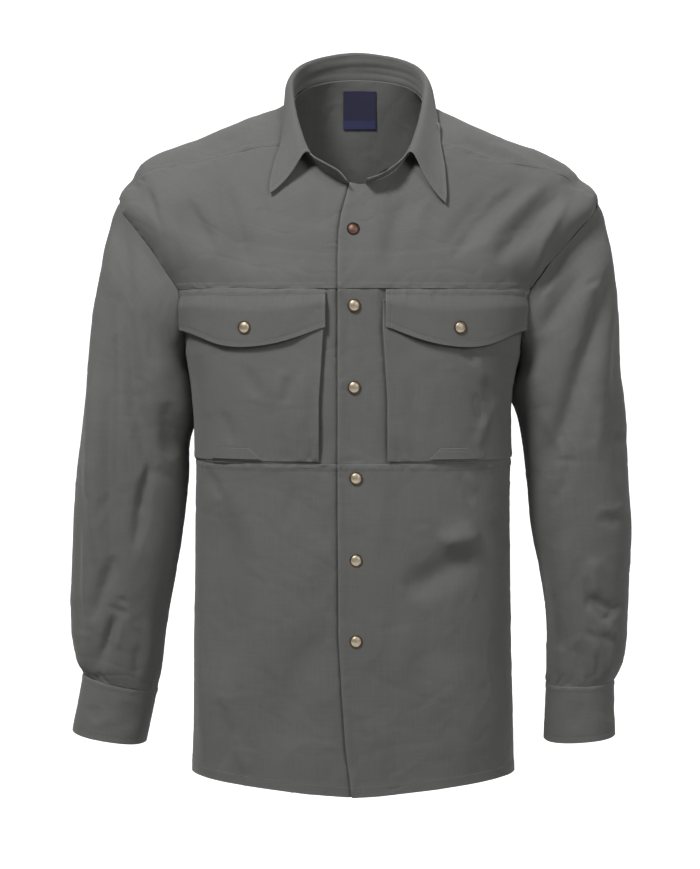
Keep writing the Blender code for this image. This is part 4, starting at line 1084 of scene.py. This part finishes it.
# Collar leaf
# The leaf folds over the stand and lies down on the fronts, with its points spread. It is two layers
# of poplin over a light stiffener, bagged out and stitched 5 mm from its edge.

LeafPoint = namedtuple("LeafPoint", "angle left_level right_level")
LEAF_EDGE = (
    LeafPoint(180, 11.62, 11.62), LeafPoint(136, 11.7, 11.7), LeafPoint(98, 11.8, 11.9),
    LeafPoint(64, 11.37, 11.63), LeafPoint(47, 10.8, 11.14), LeafPoint(35, 10.0, 10.5),
)
LEAF_LIFT = 4.5
ROLL_RISE, ROLL_OUT, LEAF_OUT, LEAF_DROP = 12, 3.5, 13, 0.5
LEAF_ROWS = tuple((edge, 5.4) for edge in ("last_row", "first_column", "last_column"))


def fold_share(share):
    last = len(STAND_TOP) - 1
    return np.asarray(share, float) * last / (last + len(STAND_FRONT[1]))


def leaf_fold(share):
    """The part of the stand's top that carries the leaf, which ends before the stand does."""
    return stand_line(fold_share(share))[1]


def leaf_edge(share):
    left = [(180 - row.angle, 0, row.left_level) for row in LEAF_EDGE]
    right = [(180 - row.angle, 0, row.right_level) for row in LEAF_EDGE]
    line = both_sides(left, right, share)
    return body(math.pi - np.radians(line[..., 0]), line[..., 2], LEAF_LIFT)


def leaf_middle(share, drop):
    """Points of the leaf's middle: drop runs from 0 at the stand to 1 at its outer edge."""
    fold = fold_share(share)
    top, below = stand_points(fold, 0 * share + 1), stand_points(fold, 0 * share + 0.9)
    rise = unit(top - below)
    start = top + rise * 0.6
    tangent = leaf_fold(share + 1e-3) - leaf_fold(share - 1e-3)
    away = unit(np.stack([-tangent[..., 1], tangent[..., 0], 0 * share], axis=-1))
    end = leaf_edge(share)
    second = start + rise * ROLL_RISE + away * ROLL_OUT
    third = start + away * LEAF_OUT
    third[..., 2] += (end - start)[..., 2] * LEAF_DROP
    t = drop[..., None]
    return (
        start * (1 - t) ** 3 + 3 * second * t * (1 - t) ** 2
        + 3 * third * t**2 * (1 - t) + end * t**3
    )


share, drop = np.meshgrid(2 * shares(330) - 1, shares(75, 2.2))
middle = leaf_middle(share, drop)
out = facing(middle, 1)
leaf, grid = cloth_piece(
    "collar_leaf", middle + out * COLLAR_CLOTH / 2, 1, 95, (), LEAF_ROWS, cloth=COLLAR_CLOTH, slack=0.45,
)
stitched("collar", grid, LEAF_ROWS)


# Chest pockets
# Each pocket is a panel laid on the front below the chest seam, with a bellows fold that stands
# proud along its inner edge. Its top is open under the flap.

POCKET_LIFT, BELLOWS = 0.5, 3.2
POCKET_END, FLAP_END = (12 - 1.4) / 12, (12 - 0.2) / 12
POCKET_TOP = 5.8
POCKET_CREASES = {
    1: (
        Fold(((112, -270), (132, -292)), 4, -0.9),
        Fold(((130, -280), (146, -318)), 4, 0.9),
        Fold(((128, -318), (140, -360)), 5, -0.9),
        Fold(((140, -300), (150, -340)), 5, -0.9),
        Fold(((146, -340), (132, -384)), 5, 0.8),
        Fold(((60, -300), (70, -380)), 8, -0.6),
    ),
    -1: (
        Fold(((-75, -292), (-80, -330)), 4, 0.8),
        Fold(((-68, -300), (-71, -336)), 4, -0.8),
        Fold(((-52, -290), (-56, -372)), 5, 0.8),
        Fold(((-120, -290), (-96, -330)), 7, -0.8),
        Fold(((-140, -340), (-128, -380)), 7, -0.7),
    ),
}


def front_level(z):
    """Level of the ring that passes the centre front at this height."""
    levels = np.linspace(HEM, NECK, 221)
    return np.interp(z, along(BODY_RINGS, levels)[:, 5], levels)


def arm_edge(level):
    """Angle of the armhole's front edge at a level, and of the side seam below the armhole."""
    reach = np.sqrt(np.clip(1 - ((level - ARM_LEVEL) / ARM_REACH) ** 2, 0, 1))
    return np.radians(90 - ARM_SPREAD * np.where(level > ARMPIT, reach, 0))


def laid_on_front(side, level, inner_x, last, share):
    """Angles across a piece on a front, from its own inner edge to a share of the front's width."""
    start = front_angle(side * inner_x, level)
    edge = front_angle(edge_x(side, level), level)
    end = edge + (side * arm_edge(level) - edge) * last
    return start + (end - start) * share


for side, owner in FRONT_NAMES:
    level = POCKET_SEAM + 0.03 + shares(172) * (POCKET_TOP - POCKET_SEAM - 0.03)
    level, share = np.meshgrid(level, shares(180), indexing="ij")
    height = along(BODY_RINGS, level)[..., 5]
    inner_x = np.interp(height, [edge.z for edge in POCKET_INNER], [edge.x for edge in POCKET_INNER])
    angle = laid_on_front(side, level, inner_x, POCKET_END, share)
    puff = (1 - smooth(share / 0.27)) * smooth((height + 396) / 30) * (1 - smooth((height + 252) / 24))
    lift = CLOTH + LAYER_GAP + POCKET_LIFT + BELLOWS * puff + lap_lift(side, angle, level)
    pocket, grid = cloth_piece(
        f"pocket_{owner}", body(angle, level, lift), side, 100 + side, ("first_row",),
        creases=POCKET_CREASES[side], slack=0.8, crease_share=2.6,
    )


# Pocket flaps
# A flap is doubled poplin, sewn into the chest seam. Its lower edge curves down to the snap, and it
# is stitched 5 mm from its edges.

FLAP_INNER = {1: 35, -1: 30}
FLAP_TOP, FLAP_CORNER, FLAP_DROP, FLAP_LIFT = -211.5, -251, 21, 4.2
FLAP_ROWS = tuple((edge, 5.4) for edge in ("first_row", "last_row", "first_column", "last_column"))


def flap_out(drop):
    """How far a flap's outer face lies above the front, from its top (0) to its lower edge (1)."""
    return CLOTH + LAYER_GAP + (CLOTH + LAYER_GAP + FLAP_LIFT) * smooth(np.asarray(drop) * 2.6)


for side, owner in FRONT_NAMES:
    drop, share = np.meshgrid(shares(58, 2.2), shares(190), indexing="ij")
    level = front_level(FLAP_CORNER + 0 * drop)
    x = plain_body(laid_on_front(side, level, FLAP_INNER[side], FLAP_END, share), level)[..., 0]
    hang = np.sin((x - x[0, 0]) / (x[0, -1] - x[0, 0]) * math.pi) ** 1.2
    level = front_level(FLAP_TOP + (FLAP_CORNER - FLAP_DROP * hang - FLAP_TOP) * drop)
    angle = laid_on_front(side, level, FLAP_INNER[side], FLAP_END, share)
    lift = flap_out(drop) + lap_lift(side, angle, level)
    flap, grid = cloth_piece(
        f"flap_{owner}", body(angle, level, lift), -side, 110 + side, ("first_row",), FLAP_ROWS,
        (("first_row", 4.0),), slack=0.5,
    )
    stitched("pockets", grid, FLAP_ROWS)


# Pocket tabs
# A small tab is stitched over the lower edge of each pocket, where its lower corners are caught down.

TAB_MIDDLE, TAB_FOOT, TAB_HEAD, TAB_LOW, TAB_HIGH = {1: 107, -1: -124}, 52, 28, -392, -381
TAB_ROWS = (("last_row", 1.5), ("first_column", 1.5), ("last_column", 1.5))
for side, owner in FRONT_NAMES:
    rise, share = np.meshgrid(shares(19, 2.0)[::1], np.linspace(-0.5, 0.5, 29), indexing="ij")
    x = TAB_MIDDLE[side] + (TAB_FOOT + (TAB_HEAD - TAB_FOOT) * rise) * share
    level = front_level(TAB_LOW + (TAB_HIGH - TAB_LOW) * rise)
    lift = 2 * CLOTH + 2 * LAYER_GAP + POCKET_LIFT + 0.4 + 0 * x
    tab, grid = cloth_piece(
        f"pocket_tab_{owner}", body(front_angle(x, level), level, lift), 1, 120 + side, (), TAB_ROWS,
        slack=0.2,
    )
    stitched("pockets", grid, TAB_ROWS)


# Neck label
# A plain woven label in navy with a paler strip along its lower edge, sewn inside the yoke at the
# centre back.

LABEL_MIDDLE, LABEL_WIDTH, LABEL_TOP, LABEL_DROP = 8, 37, 18, 43
LABEL_CLOTH, LABEL_GAP = 1.0, 0.8
NAVY, STRIP_BLUE, STRIP_START = (0.009, 0.0085, 0.038), (0.018, 0.022, 0.09), 0.034


def label_finish():
    finish = Finish("navy_label")
    thread = finish.node("ShaderNodeUVMap", {"uv_map": "thread"})
    across = finish.node("ShaderNodeSeparateXYZ", {}, {0: thread}, 0)
    down = finish.node("ShaderNodeSeparateXYZ", {}, {0: thread}, 1)
    strip = finish.node("ShaderNodeMath", {"operation": "GREATER_THAN"}, {0: down, 1: STRIP_START})
    ribs = (down * (2 * math.pi / 0.0006)).sine()
    fleck = finish.noise(finish.node("ShaderNodeCombineXYZ", {}, {0: across * 700, 1: down * 2500}), 1.0)
    colour = finish.mixed(strip, NAVY, STRIP_BLUE)
    colour = finish.mixed(fleck * 0.25, colour, (0.05, 0.05, 0.12))
    bump = finish.node("ShaderNodeBump", {}, {"Strength": 0.5, "Distance": 0.0001, "Height": ribs + fleck})
    finish.join(finish.shader, {"Base Color": colour, "Roughness": 0.55 + fleck * 0.2, "Normal": bump})
    return finish.material


drop, share = np.meshgrid(shares(LABEL_DROP, 1.6), shares(LABEL_WIDTH, 1.6) - 0.5, indexing="ij")
levels = np.linspace(YOKE_BACK_LEVEL, NECK, 60)
heights = along(BODY_RINGS, levels)[:, 7]
level = np.interp(LABEL_TOP - LABEL_DROP * drop, heights, levels)
ring = Ring(*np.moveaxis(along(BODY_RINGS, level), -1, 0))
angle = math.pi - np.arcsin((LABEL_MIDDLE + LABEL_WIDTH * share - ring.centre_x) / ring.half_width)
outer = body(angle, level, -CLOTH - LABEL_GAP)
label = shell("neck_label_cloth", Grid(outer, facing(outer, 1), False), LABEL_CLOTH, label_finish())
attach(label, "root")
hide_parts("neck_label")


# Snaps
# Each snap shows its cap: a shallow dome of antique brass in a rolled rim, pressed through the
# cloth. The top one and the one inside the stand have kept a darker, redder finish.

SNAP_RADIUS, SNAP_SIDES = 7.0, 48
SNAP_PROFILE = (
    (0.60, 0.0), (0.94, 0.05), (0.99, 0.35), (1.0, 0.75), (0.98, 1.15), (0.93, 1.45), (0.87, 1.5),
    (0.82, 1.35), (0.79, 1.15), (0.76, 1.25), (0.7, 1.6), (0.58, 2.05), (0.42, 2.4), (0.22, 2.62),
)
BRASS, BRASS_DARK = (0.44, 0.385, 0.29), (0.085, 0.055, 0.035)
COPPER, COPPER_DARK = (0.17, 0.10, 0.078), (0.04, 0.024, 0.02)
SNAP_SEAT = 0.4
PLACKET_SNAPS = (Edge(-147, 0), Edge(-228, 1), Edge(-315, 1), Edge(-412, 3), Edge(-500, 3), Edge(-587, 3))
FLAP_SNAPS = {1: 112, -1: -114}
FLAP_SNAP_Z = -251
STAND_SNAP, STAND_SNAP_HEIGHT = 0.81, 0.7


def snap_finish(name, bright, dark):
    finish = Finish(name)
    place = finish.node("ShaderNodeTexCoord", {}, {}, 3)
    rim = finish.node("ShaderNodeAttribute", {"attribute_name": "edge"}, {}, 2)
    tarnish = finish.noise(place, 380.0, 3.0)
    scratch = finish.noise(place, 2400.0, 2.0)
    colour = finish.mixed(tarnish * 0.5, bright, dark)
    colour = finish.mixed(rim, colour, dark)
    rough = 0.4 + tarnish * 0.16 + rim * 0.1
    bump = finish.node("ShaderNodeBump", {}, {"Strength": 0.25, "Distance": 0.00006, "Height": scratch})
    sockets = {"Base Color": colour, "Roughness": rough, "Metallic": 1.0, "Normal": bump}
    finish.join(finish.shader, sockets)
    return finish.material


def snap_cap(node, centre, normal, material):
    """A cap on the cloth: its profile turned about the cloth's normal."""
    sideways = unit(np.cross(normal, [0, 0, 1.0]))
    up = np.cross(sideways, normal)
    turns = np.linspace(0, 2 * math.pi, SNAP_SIDES, endpoint=False)
    circle = np.outer(np.cos(turns), sideways) + np.outer(np.sin(turns), up)
    rings = [centre + circle * radius * SNAP_RADIUS + normal * height for radius, height in SNAP_PROFILE]
    points = np.concatenate(rings + [[centre + normal * (SNAP_PROFILE[-1][1] + 0.05)], [centre]])
    faces = []
    count = len(SNAP_PROFILE)
    for ring in range(count - 1):
        for index in range(SNAP_SIDES):
            here, there = ring * SNAP_SIDES, (ring + 1) * SNAP_SIDES
            beside = (index + 1) % SNAP_SIDES
            faces.append([here + index, here + beside, there + beside, there + index])
    for index in range(SNAP_SIDES):
        beside = (index + 1) % SNAP_SIDES
        last = (count - 1) * SNAP_SIDES
        faces.append([last + index, last + beside, len(points) - 2])
        faces.append([beside, index, len(points) - 1])
    rim = np.repeat([1.0 if radius > 0.77 or height < 1 else 0.0 for radius, height in SNAP_PROFILE], SNAP_SIDES)
    rim = np.concatenate([rim, [0.0, 1.0]])
    cap = cloth_object(f"{node}_cap", points, faces, points[:, :2], rim, material, 60)
    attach(cap, "root")
    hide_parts(node)


def front_cap(node, x, z, lift, material):
    level = front_level(np.array(float(z)))
    angle = front_angle(np.array(float(x)), level)
    normal = normals_of(folded_body, angle, level)
    snap_cap(node, body(angle, level, lift + SNAP_SEAT), normal, material)


ANTIQUE_BRASS = snap_finish("antique_brass", BRASS, BRASS_DARK)
DARK_COPPER = snap_finish("dark_copper", COPPER, COPPER_DARK)
for number, snap in enumerate(PLACKET_SNAPS, 1):
    material = DARK_COPPER if number == 1 else ANTIQUE_BRASS
    front_cap(f"placket_snap_{number}", snap.x, snap.z, LAP_LIFT, material)
for side, owner in FRONT_NAMES:
    front_cap(f"flap_snap_{owner}", FLAP_SNAPS[side], FLAP_SNAP_Z, flap_out(1), ANTIQUE_BRASS)
    turn = np.array(math.radians(CUFF_START + CUFF_TURN - 12))
    half_way = np.array(0.5)
    on_cuff = cuff_points(side, half_way, turn, np.array(CUFF_LIFT + SNAP_SEAT))
    beyond = cuff_points(side, half_way, turn, np.array(CUFF_LIFT + 10.0))
    snap_cap(f"cuff_snap_{owner}", on_cuff, unit(beyond - on_cuff), ANTIQUE_BRASS)
share = np.array(STAND_SNAP)
normal = -stand_normals(share, STAND_SNAP_HEIGHT)
place = stand_points(share, STAND_SNAP_HEIGHT) + normal * (COLLAR_CLOTH / 2 + SNAP_SEAT)
snap_cap("stand_snap", place, normal, DARK_COPPER)


# Sewing thread
# All rows of topstitching are in a polyester thread of the cloth's grey, a little shinier. Geometry
# nodes lay one short stitch after another along each line that the pieces above have noted.

STITCH_PITCH, STITCH_LENGTH, STITCH_THICK = 0.0030, 0.0023, 0.00030
THREAD_GREY = (0.20, 0.20, 0.19)


def thread_finish():
    finish = Finish("grey_thread")
    place = finish.node("ShaderNodeTexCoord", {}, {}, 3)
    twist = finish.noise(place, 900.0, 1.0)
    colour = finish.mixed(twist, THREAD_GREY, CLOTH_GREY)
    finish.join(finish.shader, {"Base Color": colour, "Roughness": 0.6 + twist * 0.2})
    return finish.material


def stitch_tree(material):
    """Nodes that lay a stitch of the given sizes on each pitch of the lines."""
    tree = bpy.data.node_groups.new("stitches", "GeometryNodeTree")
    tree.interface.new_socket("Lines", in_out="INPUT", socket_type="NodeSocketGeometry")
    for name in ("Pitch", "Length", "Thickness"):
        tree.interface.new_socket(name, in_out="INPUT", socket_type="NodeSocketFloat")
    tree.interface.new_socket("Stitches", in_out="OUTPUT", socket_type="NodeSocketGeometry")
    nodes, link = tree.nodes, tree.links.new
    given, result = nodes.new("NodeGroupInput"), nodes.new("NodeGroupOutput")
    lines = nodes.new("GeometryNodeMeshToCurve")
    spaced = nodes.new("GeometryNodeResampleCurve")
    spaced.mode = "LENGTH"
    stitch = nodes.new("GeometryNodeMeshUVSphere")
    stitch.inputs["Segments"].default_value = 5
    stitch.inputs["Rings"].default_value = 4
    stitch.inputs["Radius"].default_value = 1.0
    size = nodes.new("ShaderNodeCombineXYZ")
    half = nodes.new("ShaderNodeMath")
    half.operation = "MULTIPLY"
    half.inputs[1].default_value = 0.5
    shaped = nodes.new("GeometryNodeTransform")
    tangent = nodes.new("GeometryNodeInputTangent")
    aim = nodes.new("FunctionNodeAlignRotationToVector")
    aim.axis = "Z"
    laid = nodes.new("GeometryNodeInstanceOnPoints")
    real = nodes.new("GeometryNodeRealizeInstances")
    finished = nodes.new("GeometryNodeSetMaterial")
    finished.inputs["Material"].default_value = material
    link(given.outputs["Lines"], lines.inputs["Mesh"])
    link(lines.outputs["Curve"], spaced.inputs["Curve"])
    link(given.outputs["Pitch"], spaced.inputs["Length"])
    link(given.outputs["Length"], half.inputs[0])
    link(given.outputs["Thickness"], size.inputs["X"])
    link(given.outputs["Thickness"], size.inputs["Y"])
    link(half.outputs["Value"], size.inputs["Z"])
    link(stitch.outputs["Mesh"], shaped.inputs["Geometry"])
    link(size.outputs["Vector"], shaped.inputs["Scale"])
    link(tangent.outputs["Tangent"], aim.inputs["Vector"])
    link(spaced.outputs["Curve"], laid.inputs["Points"])
    link(shaped.outputs["Geometry"], laid.inputs["Instance"])
    link(aim.outputs["Rotation"], laid.inputs["Rotation"])
    link(laid.outputs["Instances"], real.inputs["Geometry"])
    link(real.outputs["Geometry"], finished.inputs["Geometry"])
    link(finished.outputs["Geometry"], result.inputs["Stitches"])
    return tree


STITCHES = stitch_tree(thread_finish())
STITCH_SIZES = {"Pitch": STITCH_PITCH, "Length": STITCH_LENGTH, "Thickness": STITCH_THICK}


def sew(group):
    """The stitches of one group of lines, as one plain mesh."""
    points, edges = [], []
    for line in SEAMS[group]:
        first = len(points)
        points.extend((line * MM).tolist())
        edges.extend((first + k, first + k + 1) for k in range(len(line) - 1))
    mesh = bpy.data.meshes.new(f"{group}_lines")
    mesh.from_pydata(points, edges, [])
    guide = bpy.data.objects.new(f"{group}_lines", mesh)
    bpy.context.scene.collection.objects.link(guide)
    modifier = guide.modifiers.new("stitches", "NODES")
    modifier.node_group = STITCHES
    for item in STITCHES.interface.items_tree:
        if item.in_out == "INPUT" and item.name in STITCH_SIZES:
            modifier[item.identifier] = STITCH_SIZES[item.name]
    graph = bpy.context.evaluated_depsgraph_get()
    sewn = bpy.data.meshes.new_from_object(guide.evaluated_get(graph))
    sewn.shade_smooth()
    bpy.data.objects.remove(guide)
    thread = bpy.data.objects.new(f"{group}_stitching", sewn)
    bpy.context.scene.collection.objects.link(thread)
    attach(thread, "root")
    return thread


for group in SEAMS:
    sew(group)


# Floor, light and camera
# The shirt is seen against a white sweep that is the floor and the backdrop in one, which glows
# evenly, under a soft key light from the front, above and to the left, a fill from the right and a
# light from behind, in a dim white world. The camera looks down by 3 degrees.

FLOOR_Z, SWEEP_BACK, SWEEP_RADIUS, SWEEP_WIDE = -1.35, 2.6, 0.9, 9.0
SWEEP_FRONT, SWEEP_TALL = -3.2, 4.2
CAMERA_TARGET, CAMERA_AWAY, CAMERA_DOWN = Vector((-0.0034, 0, -0.372)), 2.6, 3.0
FOCAL_PIXELS, PICTURE_TALL, SENSOR_LONG = 2321.4, 869, 36.0


def sweep_profile():
    """The sweep's side view: floor, a quarter turn and the wall, as (y, z)."""
    profile = [(SWEEP_FRONT, FLOOR_Z)]
    for turn in np.linspace(0, math.pi / 2, 17):
        profile.append((
            SWEEP_BACK - SWEEP_RADIUS + SWEEP_RADIUS * math.sin(turn),
            FLOOR_Z + SWEEP_RADIUS - SWEEP_RADIUS * math.cos(turn),
        ))
    return profile + [(SWEEP_BACK, SWEEP_TALL)]


profile = sweep_profile()
points = [(x, y, z) for y, z in profile for x in (-SWEEP_WIDE / 2, SWEEP_WIDE / 2)]
faces = [(2 * k, 2 * k + 1, 2 * k + 3, 2 * k + 2) for k in range(len(profile) - 1)]
mesh = bpy.data.meshes.new("sweep")
mesh.from_pydata(points, [], faces)
mesh.shade_smooth()
paper = Finish("white_paper")
grain = paper.noise(paper.node("ShaderNodeTexCoord", {}, {}, 3), 60.0)
paper.join(paper.shader, {"Base Color": paper.mixed(grain, (0.93, 0.93, 0.93), (0.95, 0.95, 0.95))})
paper.join(paper.shader, {"Roughness": 0.9, "Emission Color": (1, 1, 1, 1), "Emission Strength": 0.68})
mesh.materials.append(paper.material)
sweep = bpy.data.objects.new("sweep", mesh)
bpy.context.scene.collection.objects.link(sweep)
sweep.visible_diffuse = False

world = bpy.data.worlds.new("studio")
world.use_nodes = True
world.node_tree.nodes["Background"].inputs["Color"].default_value = (1, 1, 1, 1)
world.node_tree.nodes["Background"].inputs["Strength"].default_value = 0.17
bpy.context.scene.world = world


def soft_light(name, place, aim, size, power):
    lamp = bpy.data.lights.new(name, "AREA")
    lamp.shape = "DISK"
    lamp.size = size
    lamp.energy = power
    made = bpy.data.objects.new(name, lamp)
    made.location = place
    made.rotation_euler = (Vector(aim) - Vector(place)).to_track_quat("-Z", "Y").to_euler()
    bpy.context.scene.collection.objects.link(made)


soft_light("key", (-1.2, -1.8, 2.0), (0, 0, -0.35), 0.8, 88)
soft_light("fill", (1.4, -2.4, 0.8), (0, 0, -0.4), 1.2, 26)
soft_light("back", (0.8, 1.7, 2.0), (0, 0, -0.3), 1.2, 22)

camera = bpy.data.cameras.new("camera")
camera.sensor_width = SENSOR_LONG
camera.lens = SENSOR_LONG * FOCAL_PIXELS / PICTURE_TALL
viewer = bpy.data.objects.new("camera", camera)
down = math.radians(CAMERA_DOWN)
backwards = Vector((0, -math.cos(down), math.sin(down)))
viewer.location = CAMERA_TARGET + backwards * CAMERA_AWAY
viewer.rotation_euler = (-backwards).to_track_quat("-Z", "Y").to_euler()
bpy.context.scene.collection.objects.link(viewer)
bpy.context.scene.camera = viewer
bpy.context.scene.view_settings.view_transform = "Standard"
